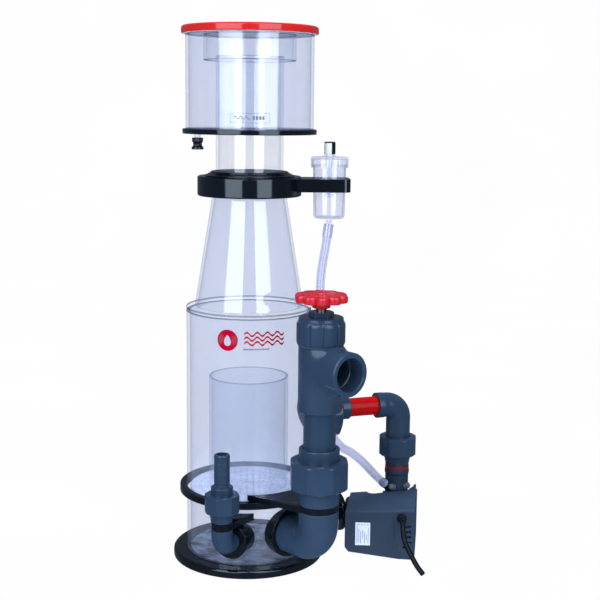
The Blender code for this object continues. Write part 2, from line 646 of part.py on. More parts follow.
def build_pump_union(riser):
    """The union between the return elbow and the pump neck, with its red seal ring."""
    axis = (riser.x, riser.y, 0)
    start, end = PUMP_NUT_Z
    ring("pump_union_nut", "slate_pvc",
         [(22.5, end), (25.0, end - 3), (25.0, start + 3), (22.5, start)],
         [(16.0, end), (16.0, end - 5), (21.4, end - 5), (21.4, start)], MEDIUM, axis)
    ring("pump_union_body", "slate_pvc",
         [(21.0, end - 9.6), (21.0, start + 3), (15.8, start + 1), (15.8, 94.8)],
         [(11.4, end - 9.6), (11.4, 94.8)], MEDIUM, axis)
    tube("pump_seal_ring", "red_plastic", 15.2, 11.0, 88.2, 94.5, MEDIUM, axis)


# ---- pump ---------------------------------------------------------------------
def pump_outline(inset, low_left, low_right, top):
    """The housing's front outline as (x, z) points, with a sloping underside."""
    left, right = PUMP_FRONT_X[0] + inset, PUMP_FRONT_X[1] - inset
    return [(left, top), (left, low_left + 4), (left + 3, low_left),
            (left + (right - left) * 0.76, low_right + 2), (right - 2, low_right),
            (right, low_right + 2), (right, top)]


def pump_block(name, inset, low_left, low_right, top, y0, y1):
    """Extrudes the front outline along Y and leans its sides to +X."""
    obj = slab_mesh(name, pump_outline(inset, low_left, low_right, top), -y1, -y0)
    upright = Matrix.Rotation(math.pi / 2, 4, "X")
    lean = Matrix.Identity(4)
    lean[0][1] = PUMP_SIDE_SHEAR
    lean[0][3] = -PUMP_SIDE_SHEAR * PUMP_FRONT_Y * MM
    obj.data.transform(lean @ upright)
    return obj


def trimming_block(name, centre, azimuth=0.0):
    """A large cube that trims everything inside it."""
    work = bmesh.new()
    bmesh.ops.create_cube(work, size=TRIM * MM)
    mesh = bpy.data.meshes.new(name)
    work.to_mesh(mesh)
    work.free()
    obj = hide_cutter(bpy.data.objects.new(name, mesh))
    obj.rotation_euler = (0, 0, math.radians(azimuth))
    obj.location = Vector(centre) * MM
    return obj


def trim_behind(name, v):
    """Trims everything behind a plane parallel to the pump plane."""
    back = polar(1, RETURN_AZIMUTH + 90)
    return trimming_block(name, polar(RISER_RHO, RETURN_AZIMUTH, 30) + back * (v + TRIM / 2),
                          RETURN_AZIMUTH)


def trim_below(name, z):
    return trimming_block(name, (PUMP_FRONT_X[0] + 42, 0, z - TRIM / 2))


def build_pump():
    riser = polar(RISER_RHO, RETURN_AZIMUTH)
    along = polar(1, RETURN_AZIMUTH)
    back = polar(1, RETURN_AZIMUTH + 90)
    lid_seam = PUMP_TOP - 4
    rotor = riser - along * ROTOR_OFFSET
    rotor_origin = (rotor.x, rotor.y, ROTOR_Z)

    housing = finish_part(pump_block("pump_housing", 0, 12.5, 0.4, lid_seam,
                                     PUMP_FRONT_Y, 70), "pump_plastic")
    combine(housing, trim_behind("housing_rear", HOUSING_REAR))
    cavity = hide_cutter(pump_block("housing_cavity", 3.2, 15.7, 3.8, lid_seam + 20,
                                    PUMP_FRONT_Y + 3.2, 66))
    combine(cavity, trim_behind("cavity_rear", HOUSING_REAR - 3.2))
    combine(housing, cavity)
    cut_rod(housing, "rotor_well", 13.2, -40, 0, MEDIUM, rotor_origin, back)
    lid = finish_part(pump_block("pump_cover", 0.6, lid_seam - 20, lid_seam - 20, PUMP_TOP,
                                 PUMP_FRONT_Y + 0.6, 70), "pump_plastic")
    combine(lid, trim_behind("cover_rear", HOUSING_REAR - 0.3))
    combine(lid, trim_below("cover_underside", lid_seam + GAP))
    cut_rod(housing, "cord_hole", 4.3, -10, 10, SMALL, CORD_EXIT, (0, 1, 0))

    volute = finish_part(volute_block(riser), "pump_plastic")
    join_rod(volute, "pump_neck", NECK_PORT_R, WET_END_TOP - 1, 87.9, MEDIUM,
             (riser.x, riser.y, 0))
    cut_rod(volute, "neck_bore", 11.0, 33, 95, 20, (riser.x, riser.y, 0))
    cut_rod(volute, "impeller_chamber", 17.0, -20, 9, MEDIUM, rotor_origin, back)
    cut_rod(volute, "discharge_bore", 8.5, 100, 196, MEDIUM, (0, 0, DISCHARGE_Z), along)
    cut_rod(volute, "discharge_socket", 11.4, 100, 143.4, MEDIUM, (0, 0, DISCHARGE_Z), along)

    discharge = ring("discharge_pipe", "black_acrylic",
                     [(11.0, 143.0), (11.0, 123.0), (24.0, 123.0), (24.0, 117.0),
                      (11.0, 117.0), (11.0, 84.0), (20.0, 84.0), (20.0, 60.0)],
                     [(8.5, 143.0), (8.5, 60.0)], MEDIUM, (0, 0, DISCHARGE_Z), along)
    cut_rod(discharge, "discharge_saddle_seat", BODY_R + GAP, 0, 120, SEAT)
    build_rotor(rotor_origin, back)
    build_pump_fittings(riser, back)


def volute_block(riser):
    """The wet end behind the housing: a block with rounded upright corners."""
    corner = 6.0
    left, right = WET_END_U
    front, rear = WET_END_V
    outline = (arc(right - corner, front + corner, corner, -90, 0, 3)
               + arc(right - corner, rear - corner, corner, 0, 90, 3)
               + arc(left + corner, rear - corner, corner, 90, 180, 3)
               + arc(left + corner, front + corner, corner, 180, 270, 3))
    obj = slab_mesh("pump_volute", outline, 3.0, WET_END_TOP)
    obj.location = (riser.x * MM, riser.y * MM, 0)
    obj.rotation_euler = (0, 0, math.radians(RETURN_AZIMUTH))
    return obj


def build_rotor(origin, back):
    """Impeller, magnet, shaft and bushes on the rotor axis, and the stator about them."""
    impeller = solid("impeller", "black_plastic",
                     [(0, 4.0), (6.0, 4.0), (6.0, -4.0), (15.6, -4.0), (15.6, -6.5), (0, -6.5)],
                     MEDIUM, origin, back)
    for i in range(6):
        combine(impeller, impeller_vane(f"impeller_vane_{i}", origin, back, 60 * i), "UNION")
    cut_rod(impeller, "impeller_bore", 2.6, -10, 10, SMALL, origin, back)
    tube("rotor_magnet", "magnet", 11.0, 2.6, -58.0, -20.0, MEDIUM, origin, back)
    solid("rotor_shaft", "ceramic", [(0, 6.0), (2.3, 6.0), (2.3, -68.0), (0, -68.0)], 12,
          origin, back)
    tube("shaft_bush", "ceramic", 5.0, 2.4, -64.0, -60.0, SMALL, origin, back)
    tube("stator_coil", "copper", 19.5, 13.5, -56.0, -24.0, MEDIUM, origin, back)


def impeller_vane(name, origin, back, degrees):
    work = bmesh.new()
    bmesh.ops.create_cube(work, size=1.0)
    bmesh.ops.scale(work, verts=work.verts, vec=(10.0 * MM, 1.6 * MM, 8.0 * MM))
    bmesh.ops.translate(work, verts=work.verts, vec=(10.0 * MM, 0, -1.0 * MM))
    bmesh.ops.rotate(work, verts=work.verts, cent=(0, 0, 0),
                     matrix=Matrix.Rotation(math.radians(degrees), 3, "Z"))
    mesh = bpy.data.meshes.new(name)
    work.to_mesh(mesh)
    work.free()
    return hide_cutter(aim(bpy.data.objects.new(name, mesh), origin, back))


def build_pump_fittings(riser, back):
    """Cord, strain relief, air nipple and the air hose."""
    exit_point = Vector(CORD_EXIT)
    cord = [exit_point + Vector((0, 3.5, 0)), exit_point + Vector((0, -8, 0)),
            exit_point + Vector((0, -13, -4)), exit_point + Vector((0, -18, -12)),
            exit_point + Vector((2, -25, -22)), exit_point + Vector((7, -34, -32)),
            exit_point + Vector((13.5, -44, -43)), exit_point + Vector((20, -52, -50.4))]
    lead = swept_part("power_cord", "rubber", cord, 3.1, 8)
    join_rod(lead, "strain_relief", 5.6, 0.4, 7.0, SMALL, exit_point, (0, -1, 0))

    tip_direction = Vector((-0.62, -0.42, 0.66)).normalized()
    base = riser + Vector((-12.8, -8.7, 66.0))
    nipple = ring("air_nipple", "black_plastic",
                  [(2.6, 13.0), (3.2, 11.0), (3.2, 6.0), (5.2, 6.0), (5.2, -3.0)],
                  [(1.6, 13.0), (1.6, -3.0)], SMALL, base, tip_direction)
    cut_rod(nipple, "nipple_seat", NECK_PORT_R + GAP, 40, 100, MEDIUM, (riser.x, riser.y, 0))
    start = Vector((SILENCER_X, 0, 408.0))
    hose_end = base + tip_direction * 6.6
    path = hose_path(start, hose_end, tip_direction)
    hose = swept_part("air_hose", "hose", path, 5.3, 8)
    combine(hose, hide_cutter(swept_mesh("hose_bore", extend(path, 4), 3.9, 8)))


def hose_path(start, end, arrive):
    """A smooth line through the hose's resting places, by Catmull-Rom interpolation."""
    knots = [start + Vector((0, 0, 20)), start, Vector((91.5, -3, 385)), Vector((85.5, -8, 345)),
             Vector((85, -16, 300)), Vector((88, -28, 240)), Vector((91, -33, 190)),
             Vector((99, -30, 160)), Vector((112, -21, 140)), Vector((126, -7, 128)),
             Vector((141, 10, 112)),
             end + arrive * 20, end + arrive * 8, end, end - arrive * 8]
    path = [start]
    for i in range(1, len(knots) - 2):
        a, b, c, d = knots[i - 1:i + 3]
        for t in (0.5, 1.0):
            path.append(0.5 * ((2 * b) + (c - a) * t + (2 * a - 5 * b + 4 * c - d) * t * t
                               + (3 * b - a - 3 * c + d) * t ** 3))
    return path


build_body()
build_cup()
build_silencer()
build_outlet()
build_inlet()
build_return()
build_pump()
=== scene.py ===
"""Looks of the protein skimmer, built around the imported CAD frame.

Sizes are in millimetres in the code and are scaled by MM where a mesh is made.
"""
import json
import math

import bmesh
import bpy
import numpy as np
from mathutils import Matrix, Vector


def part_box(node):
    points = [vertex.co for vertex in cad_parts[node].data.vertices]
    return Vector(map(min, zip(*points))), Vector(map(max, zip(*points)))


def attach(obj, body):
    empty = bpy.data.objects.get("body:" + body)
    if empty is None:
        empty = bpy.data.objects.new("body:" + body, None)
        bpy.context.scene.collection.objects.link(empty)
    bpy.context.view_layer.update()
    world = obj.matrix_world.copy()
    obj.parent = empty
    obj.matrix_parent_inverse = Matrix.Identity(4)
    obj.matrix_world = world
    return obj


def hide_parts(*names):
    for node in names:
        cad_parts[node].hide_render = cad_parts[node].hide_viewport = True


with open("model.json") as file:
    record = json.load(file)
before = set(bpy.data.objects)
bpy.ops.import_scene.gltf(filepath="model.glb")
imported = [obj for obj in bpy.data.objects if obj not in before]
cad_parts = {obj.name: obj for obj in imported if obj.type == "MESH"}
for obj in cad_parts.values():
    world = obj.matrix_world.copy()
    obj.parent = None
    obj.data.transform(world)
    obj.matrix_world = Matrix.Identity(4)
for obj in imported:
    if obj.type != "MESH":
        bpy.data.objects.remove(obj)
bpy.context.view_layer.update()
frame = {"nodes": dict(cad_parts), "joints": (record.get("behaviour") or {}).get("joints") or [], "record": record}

MM = 0.001
UP = Vector((0, 0, 1))
ORIGIN = Vector((0, 0, 0))
TURN = 2 * math.pi
BODY_OF = {node: body for body, nodes in frame["record"]["behaviour"]["bodies"].items()
           for node in nodes}
SLOT_OF = {part["node"]: part["material_slot"] for part in frame["record"]["subparts"]}
JOINT = {joint["name"]: joint for joint in frame["joints"]}


# ---- places, from the frame -------------------------------------------------------
def points_of(node):
    """A CAD node's vertices in mm."""
    mesh = frame["nodes"][node].data
    flat = np.empty(len(mesh.vertices) * 3, np.float32)
    mesh.vertices.foreach_get("co", flat)
    return flat.reshape(-1, 3).astype(float) / MM


def reach(node, origin=ORIGIN, direction=UP):
    """Where a node starts and ends along a line, and its outer radius about it, in mm."""
    offset = points_of(node) - np.array(origin)
    along = offset @ np.array(direction)
    radial = np.linalg.norm(offset - np.outer(along, np.array(direction)), axis=1)
    return float(along.min()), float(along.max()), float(radial.max())


def middle(node):
    """The upright axis through the middle of a node, as a point on the floor."""
    low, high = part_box(node)
    return Vector(((low.x + high.x) / 2 / MM, (low.y + high.y) / 2 / MM, 0))


OUTLET = middle("riser_pipe")
INLET = middle("inlet_union_nut")
SILENCER = middle("silencer_lid")
RISER = middle("pump_union_nut")
DRAIN = middle("drain_cap")
BRANCH = Vector((OUTLET.x, OUTLET.y, 0)).normalized()
ALONG = Vector(JOINT["return_union_nut_turn"]["axis"]).normalized()
BACK = Vector(JOINT["rotor_spin"]["axis"]).normalized()
RETURN = Vector((0, 0, JOINT["return_union_nut_turn"]["pos_m"][2] / MM))
ROTOR = Vector(JOINT["rotor_spin"]["pos_m"]) / MM
BODY_R = reach("body_tube")[2]


# ---- materials --------------------------------------------------------------------
def put(tree, kind, values=(), **settings):
    """Adds a node; a value that is a socket is linked, any other is set."""
    made = tree.nodes.new(kind)
    for key, value in settings.items():
        setattr(made, key, value)
    for key, value in dict(values).items():
        if isinstance(value, bpy.types.NodeSocket):
            tree.links.new(value, made.inputs[key])
        else:
            made.inputs[key].default_value = value
    return made


def ramp(tree, factor, stops):
    made = put(tree, "ShaderNodeValToRGB", {"Fac": factor})
    band = made.color_ramp
    while len(band.elements) < len(stops):
        band.elements.new(0.5)
    for element, (place, colour) in zip(band.elements, stops):
        element.position = place
        element.color = (*colour, 1.0)
    return made.outputs["Color"]


def scaled(tree, value, low, high, start=0.0, end=1.0):
    made = put(tree, "ShaderNodeMapRange", {"Value": value, "From Min": start,
                                            "From Max": end, "To Min": low, "To Max": high})
    return made.outputs["Result"]


def noise(tree, scale, detail=3.0, stretch=(1, 1, 1)):
    place = put(tree, "ShaderNodeTexCoord").outputs["Object"]
    spread = put(tree, "ShaderNodeMapping", {"Vector": place, "Scale": stretch})
    made = put(tree, "ShaderNodeTexNoise", {"Vector": spread.outputs["Vector"],
                                            "Scale": scale, "Detail": detail})
    return made.outputs["Fac"]


def empty_material(name):
    made = bpy.data.materials.new(name)
    made.use_nodes = True
    made.node_tree.nodes.clear()
    return made, made.node_tree


EDGE_SPAN = 0.55, 0.68                    # pointiness over which an edge counts as worn
SHEEN_TINT = (0.76, 0.90, 1.0, 1)


def plastic(name, dark, light, rough, grain, wear=0.25, mottle=9.0, metallic=0.0,
            shine=0.5):
    """Moulded or turned material: mottled colour, fine grain in the surface, paler edges."""
    made, tree = empty_material(name)
    base = ramp(tree, noise(tree, mottle, 4.0), [(0.35, dark), (0.65, light)])
    edge = put(tree, "ShaderNodeNewGeometry").outputs["Pointiness"]
    rubbed = (*[min(1, c * 2 + 0.05) for c in light], 1)
    worn = put(tree, "ShaderNodeMixRGB", {"Fac": scaled(tree, edge, 0.0, wear, *EDGE_SPAN),
                                          "Color1": base, "Color2": rubbed})
    grain_scale, grain_depth = grain
    bump = put(tree, "ShaderNodeBump", {"Height": noise(tree, grain_scale, 2.0),
                                        "Strength": 0.6, "Distance": grain_depth * MM})
    rub = noise(tree, 45.0, 5.0)
    shader = put(tree, "ShaderNodeBsdfPrincipled",
                 {"Base Color": worn.outputs["Color"], "Metallic": metallic,
                  "Roughness": scaled(tree, rub, rough[0], rough[1], 0.3, 0.7),
                  "Normal": bump.outputs["Normal"], "Specular IOR Level": shine,
                  "Specular Tint": SHEEN_TINT})
    put(tree, "ShaderNodeOutputMaterial", {"Surface": shader.outputs["BSDF"]})
    return made


def acrylic(name, through, edge, mirror=1.0, haze=0.04, haze_colour=(0.75, 0.8, 0.95),
            ripple=0.4):
    """Clear plastic wall: tinted where it is seen through, deeper at a glancing angle."""
    made, tree = empty_material(name)
    draw = noise(tree, 26.0, 3.0, (1, 1, 0.08))
    bump = put(tree, "ShaderNodeBump", {"Height": draw, "Strength": 0.12, "Distance": ripple * MM})
    glance = put(tree, "ShaderNodeLayerWeight", {"Blend": 0.5}).outputs["Facing"]
    tint = ramp(tree, glance, [(0.0, through), (0.55, through), (0.97, edge)])
    see = put(tree, "ShaderNodeBsdfTransparent", {"Color": tint})
    smear = noise(tree, 60.0, 5.0)
    shine = put(tree, "ShaderNodeBsdfGlossy",
                {"Color": (1, 1, 1, 1), "Normal": bump.outputs["Normal"],
                 "Roughness": scaled(tree, smear, 0.015, 0.07, 0.35, 0.75)})
    steep = put(tree, "ShaderNodeMath", {0: glance, 1: 5.0}, operation="POWER")
    fresnel = scaled(tree, steep.outputs["Value"], 0.045 * mirror, 0.22)
    film = put(tree, "ShaderNodeBsdfDiffuse", {"Color": (*haze_colour, 1), "Roughness": 0.5})
    dust = scaled(tree, smear, haze * 0.8, haze * 1.2, 0.3, 0.7)
    cloudy = put(tree, "ShaderNodeMixShader", {0: dust, 1: see.outputs["BSDF"],
                                               2: film.outputs["BSDF"]})
    wall = put(tree, "ShaderNodeMixShader", {0: fresnel, 1: cloudy.outputs["Shader"],
                                             2: shine.outputs["BSDF"]})
    put(tree, "ShaderNodeOutputMaterial", {"Surface": wall.outputs["Shader"]})
    return made


CLEAR = acrylic("clear_acrylic", (0.910, 0.928, 0.976), (0.86, 0.885, 0.95), 1.25, 0.03)
CLEAR_THIN = acrylic("clear_acrylic_thin", (0.962, 0.970, 0.989), (0.91, 0.93, 0.965), 1.2,
                     0.03)
FAINT = acrylic("clear_acrylic_faint", (0.988, 0.989, 0.995), (0.94, 0.95, 0.97), 0.8, 0.02)
CLEAR_RIM = acrylic("clear_acrylic_rim", (0.42, 0.47, 0.58), (0.16, 0.20, 0.29), 1.0, 0.10,
                    (0.30, 0.36, 0.48))
SOFT_RIM = acrylic("clear_acrylic_soft_rim", (0.70, 0.74, 0.83), (0.45, 0.50, 0.62), 1.0, 0.08,
                   (0.5, 0.56, 0.7))
MOULDED = acrylic("clear_moulded", (0.93, 0.935, 0.97), (0.50, 0.54, 0.66), 1.2, 0.07)
HOSE = acrylic("soft_hose", (0.84, 0.85, 0.92), (0.62, 0.64, 0.76), 0.6, 0.20,
               (0.56, 0.58, 0.74), 0.02)
HOSE_END = acrylic("soft_hose_end", (0.42, 0.50, 0.72), (0.24, 0.30, 0.48), 0.8, 0.45,
                   (0.45, 0.55, 0.82))
BLACK_ACRYLIC = plastic("black_acrylic", (0.0012, 0.0018, 0.0034), (0.0022, 0.0032, 0.0058),
                        (0.05, 0.12), (900, 0.004), wear=0.02, shine=0.55)
BASE_TOP = plastic("base_top_reflections", (0.010, 0.018, 0.034), (0.21, 0.25, 0.33),
                   (0.10, 0.22), (700, 0.02), wear=0.0, mottle=70.0, shine=0.8)
# Near-white for the red lid's underside: painted light, standing in for light on the downward faces where their
# shade would show.
LID_UNDERSIDE_PAINTED_LIGHT = plastic("lid_underside_painted_light", (0.88, 0.86, 0.93), (0.94, 0.92, 0.99), (0.10, 0.22),
                        (800, 0.004), wear=0.0)
# A darkened, brownish copy of the steel for the valve stem: painted shade under the handwheel.
STEM_STEEL_PAINTED_SHADE = plastic("stem_steel_painted_shade", (0.10, 0.07, 0.055), (0.22, 0.17, 0.14), (0.22, 0.38),
                     (2500, 0.006), wear=0.2, metallic=1.0)
SLATE = plastic("slate_pvc", (0.0116, 0.0245, 0.050), (0.0165, 0.0325, 0.0635),
                (0.13, 0.22), (1500, 0.008), wear=0.25, shine=0.42)
RED_ACRYLIC = plastic("red_acrylic", (0.33, 0.007, 0.006), (0.38, 0.010, 0.008),
                      (0.06, 0.14), (800, 0.004), wear=0.15)
RED_PLASTIC = plastic("red_plastic", (0.29, 0.005, 0.010), (0.36, 0.007, 0.015),
                      (0.16, 0.26), (1200, 0.006), wear=0.05)
RED_PIPE = plastic("red_pipe", (0.26, 0.002, 0.002), (0.31, 0.003, 0.003), (0.10, 0.18),
                   (1200, 0.004), wear=0.05, shine=0.12)
PUMP_PLASTIC = plastic("pump_plastic", (0.0080, 0.0175, 0.0400), (0.0115, 0.0235, 0.0500),
                       (0.42, 0.56), (2200, 0.030), wear=0.25, shine=0.35)
# A lighter copy of the pump plastic for the cover and its fin: painted light, the top made lighter as if lit from
# above.
COVER_PAINTED_LIGHT = plastic("pump_cover_painted_light", (0.0160, 0.0300, 0.0580), (0.0215, 0.0390, 0.0720),
                        (0.38, 0.50), (2200, 0.030), wear=0.25, shine=0.35)
BLACK_PLASTIC = plastic("black_plastic", (0.003, 0.004, 0.006), (0.006, 0.007, 0.010),
                        (0.25, 0.40), (1600, 0.012), wear=0.1, shine=0.3)
RUBBER = plastic("rubber", (0.0016, 0.0022, 0.0042), (0.0032, 0.0042, 0.0072), (0.35, 0.5),
                 (1800, 0.02), wear=0.0, shine=0.15)
STEEL = plastic("steel", (0.40, 0.40, 0.41), (0.52, 0.52, 0.53), (0.22, 0.38), (2500, 0.006),
                wear=0.4, metallic=1.0)
MAGNET = plastic("ferrite", (0.025, 0.025, 0.028), (0.045, 0.045, 0.05), (0.5, 0.7),
                 (1400, 0.03), wear=0.2)
CERAMIC = plastic("ceramic", (0.74, 0.73, 0.69), (0.82, 0.81, 0.77), (0.15, 0.25),
                  (1400, 0.004), wear=0.1)
COPPER = plastic("enamelled_copper", (0.36, 0.12, 0.05), (0.52, 0.20, 0.09), (0.25, 0.4),
                 (900, 0.08), wear=0.2, metallic=0.9)
LABEL_PAPER = plastic("label_paper", (0.36, 0.41, 0.55), (0.42, 0.47, 0.61), (0.5, 0.6),
                      (1500, 0.006), wear=0.0)
LABEL_INK = plastic("label_ink", (0.05, 0.06, 0.09), (0.09, 0.10, 0.14), (0.5, 0.6),
                    (1500, 0.004), wear=0.0)
RED_INK = plastic("red_ink", (0.25, 0.001, 0.016), (0.30, 0.002, 0.021), (0.6, 0.7),
                  (1500, 0.003), wear=0.0, shine=0.0)
BUBBLE_PLATE = acrylic("bubble_plate_acrylic", (0.89, 0.91, 0.965), (0.42, 0.48, 0.62), 2.2, 0.42,
                       (0.95, 0.96, 1.0))
# A pale material for one side of the air adjuster's cap: painted light.
PALE_PAINTED_LIGHT = plastic("pale_painted_light", (0.50, 0.52, 0.60), (0.64, 0.66, 0.74), (0.1, 0.25),
                       (900, 0.01), wear=0.1)
CLIP_PLASTIC = plastic("clip_plastic", (0.045, 0.055, 0.08), (0.07, 0.085, 0.115), (0.35, 0.5),
                       (1500, 0.02), wear=0.2)
DARK_RED = plastic("dark_red_seal", (0.065, 0.010, 0.014), (0.095, 0.013, 0.018), (0.3, 0.45),
                   (1500, 0.01), wear=0.1)
LABEL_GREY = plastic("label_grey", (0.11, 0.13, 0.19), (0.15, 0.17, 0.24), (0.5, 0.6),
                     (1500, 0.004), wear=0.0)
FINISH = {"clear_acrylic": CLEAR, "black_acrylic": BLACK_ACRYLIC, "slate_pvc": SLATE,
          "red_acrylic": RED_ACRYLIC, "red_plastic": RED_PLASTIC, "pump_plastic": PUMP_PLASTIC,
          "black_plastic": BLACK_PLASTIC, "rubber": RUBBER, "hose": HOSE, "steel": STEEL,
          "magnet": MAGNET, "ceramic": CERAMIC, "copper": COPPER}


# ---- making pieces ----------------------------------------------------------------
def add_object(name, data):
    made = bpy.data.objects.new(name, data)
    bpy.context.scene.collection.objects.link(made)
    return made


def new_piece(name, mesh, materials, node=None, body=None, weighted=True):
    """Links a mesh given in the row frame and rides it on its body."""
    piece = add_object(name, mesh)
    for material in materials:
        mesh.materials.append(material)
    if weighted:
        weights = piece.modifiers.new("weights", "WEIGHTED_NORMAL")
        weights.keep_sharp = True
    if node:
        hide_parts(node)
        body = BODY_OF[node]
    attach(piece, body)
    return piece


def soften(points, radius, closed):
    """Rounds the corners of a profile. A point may name its own radius as a third value."""
    result = []
    count = len(points)
    for i, point in enumerate(points):
        here = Vector(point[:2])
        own = point[2] if len(point) > 2 else radius
        at_end = not closed and i in (0, count - 1)
        before = Vector(points[i - 1][:2]) - here
        after = Vector(points[(i + 1) % count][:2]) - here
        if at_end or own <= 0 or before.length < 1e-6 or after.length < 1e-6:
            result.append(tuple(here))
            continue
        cut = min(own, 0.45 * before.length, 0.45 * after.length)
        start, end = here + before.normalized() * cut, here + after.normalized() * cut
        for step in range(5):
            t = step / 4
            result.append(tuple(start * (1 - t) ** 2 + here * 2 * t * (1 - t) + end * t * t))
    return result


def placed(points, origin, direction):
    turn = np.array(Vector(direction).to_track_quat("Z", "Y").to_matrix())
    return points @ turn.T + np.array(origin)


def mesh_of(name, points, faces, smooth=True, sharp=0.7):
    """A mesh from points in mm, with outward faces and sharp edges marked."""
    mesh = bpy.data.meshes.new(name)
    mesh.from_pydata([tuple(p) for p in np.asarray(points) * MM], [], faces)
    work = bmesh.new()
    work.from_mesh(mesh)
    bmesh.ops.recalc_face_normals(work, faces=work.faces)
    work.to_mesh(mesh)
    work.free()
    if smooth:
        mesh.shade_smooth()
        mesh.set_sharp_from_angle(angle=sharp)
    return mesh


def lathe_mesh(name, profile, origin=ORIGIN, direction=UP, steps=128, warp=None, round_by=0.5):
    """A profile of (radius, height) points turned about an axis."""
    closed = profile[0][0] > 1e-6 or profile[-1][0] > 1e-6
    outline = soften(profile, round_by, closed)
    angles = np.arange(steps) * TURN / steps
    points, rows = [], []
    for radius, height in outline:
        if radius < 1e-6:
            rows.append([len(points)] * steps)
            points.append((0.0, 0.0, height))
            continue
        radii = np.full(steps, radius)
        if warp:
            radii = warp(radii, height, angles)
        rows.append(list(range(len(points), len(points) + steps)))
        points += list(zip(radii * np.cos(angles), radii * np.sin(angles),
                           np.full(steps, height)))
    faces = []
    last = len(rows) if closed else len(rows) - 1
    for i in range(last):
        a, b = rows[i], rows[(i + 1) % len(rows)]
        for j in range(steps):
            k = (j + 1) % steps
            face = []
            for corner in (a[j], a[k], b[k], b[j]):
                if corner not in face:
                    face.append(corner)
            if len(face) > 2:
                faces.append(face)
    return mesh_of(name, placed(np.array(points), origin, direction), faces)


def lathe(node, profile, origin=ORIGIN, direction=UP, steps=128, warp=None, round_by=0.5,
          finish=None):
    mesh = lathe_mesh(node + "_look", profile, origin, direction, steps, warp, round_by)
    return new_piece(node + "_look", mesh, [finish or FINISH[SLOT_OF[node]]], node)


def hollow(outer, inner):
    """A closed profile from an outer and an inner line, both listed from top to bottom."""
    return list(outer) + list(reversed(inner))


def tube(radius, bore, low, high):
    """The closed profile of a plain tube."""
    return hollow([(radius, high), (radius, low)], [(bore, high), (bore, low)])


def arc(centre, radius, start, sweep, parts):
    """Points (x, y) along an arc, both ends included."""
    return [(centre[0] + radius * math.cos(a), centre[1] + radius * math.sin(a))
            for a in (start + sweep * i / parts for i in range(parts + 1))]


def circle(centre, radius, count):
    return arc(centre, radius, 0, TURN, count)[:-1]


def prism(name, front, back):
    """A solid between two loops with the same number of points."""
    count = len(front)
    faces = [tuple(range(count)), tuple(range(2 * count - 1, count - 1, -1))]
    faces += [(i, (i + 1) % count, count + (i + 1) % count, count + i) for i in range(count)]
    return mesh_of(name, [tuple(p) for p in front + back], faces, False)


def ease_edges(work, edges, bevel, segments):
    bmesh.ops.bevel(work, geom=edges, offset=bevel * MM, segments=segments, profile=0.5,
                    affect="EDGES", clamp_overlap=True)


def clear_tube(node, wall, rim, origin=ORIGIN, steps=160, finish=None, band=0.9, foot=True):
    """A clear tube whose cut ends, and a narrow band by them, have a deeper material."""
    low, high, radius = reach(node, origin)
    rows = (high, high - band, low + band, low)
    profile = hollow([(radius, z) for z in rows], [(radius - wall, z) for z in rows])
    piece = lathe(node, profile, origin, UP, steps, None, 0.3, finish or CLEAR)
    mark_rim(piece, rim, lambda z: z > high - band or (foot and z < low + band))
    return piece


def mark_faces(piece, finish, chosen):
    """Gives the faces whose middle (in mm) and normal pass a test a second material."""
    piece.data.materials.append(finish)
    for face in piece.data.polygons:
        if chosen(face.center / MM, face.normal):
            face.material_index = 1


def mark_rim(piece, rim, inside):
    """Gives the faces whose height passes a test the rim material."""
    mark_faces(piece, rim, lambda spot, normal: inside(spot.z))


def polygon_slab(name, outline, holes, z0, z1, bevel=0.6, segments=3):
    """A flat plate from an outline and holes, as lists of (x, y), with eased edges."""
    curve = bpy.data.curves.new(name + "_outline", "CURVE")
    curve.dimensions = "2D"
    curve.fill_mode = "BOTH"
    curve.extrude = (z1 - z0) / 2 * MM
    for loop in [outline] + holes:
        spline = curve.splines.new("POLY")
        spline.points.add(len(loop) - 1)
        for point, (x, y) in zip(spline.points, loop):
            point.co = (x * MM, y * MM, 0, 1)
        spline.use_cyclic_u = True
    guide = add_object(name + "_guide", curve)
    depsgraph = bpy.context.evaluated_depsgraph_get()
    mesh = bpy.data.meshes.new_from_object(guide.evaluated_get(depsgraph))
    bpy.data.objects.remove(guide, do_unlink=True)
    work = bmesh.new()
    work.from_mesh(mesh)
    bmesh.ops.translate(work, verts=work.verts, vec=(0, 0, (z0 + z1) / 2 * MM))
    bmesh.ops.remove_doubles(work, verts=work.verts, dist=0.000004)
    bmesh.ops.recalc_face_normals(work, faces=work.faces)
    if bevel:
        edges = [e for e in work.edges if len(e.link_faces) == 2
                 and e.calc_face_angle(0) > 1.2
                 and abs(e.verts[0].co.z - e.verts[1].co.z) < 1e-7]
        ease_edges(work, edges, bevel, segments)
    work.to_mesh(mesh)
    work.free()
    mesh.shade_smooth()
    mesh.set_sharp_from_angle(angle=0.6)
    return mesh


def frames_along(path):
    """Tangents and a pair of side vectors that don't twist, for each point of a path."""
    count = len(path)
    tangents = [(path[min(i + 1, count - 1)] - path[max(i - 1, 0)]).normalized()
                for i in range(count)]
    side = tangents[0].orthogonal().normalized()
    frames = []
    for tangent in tangents:
        side = (side - tangent * side.dot(tangent)).normalized()
        frames.append((tangent, side, tangent.cross(side)))
    return frames


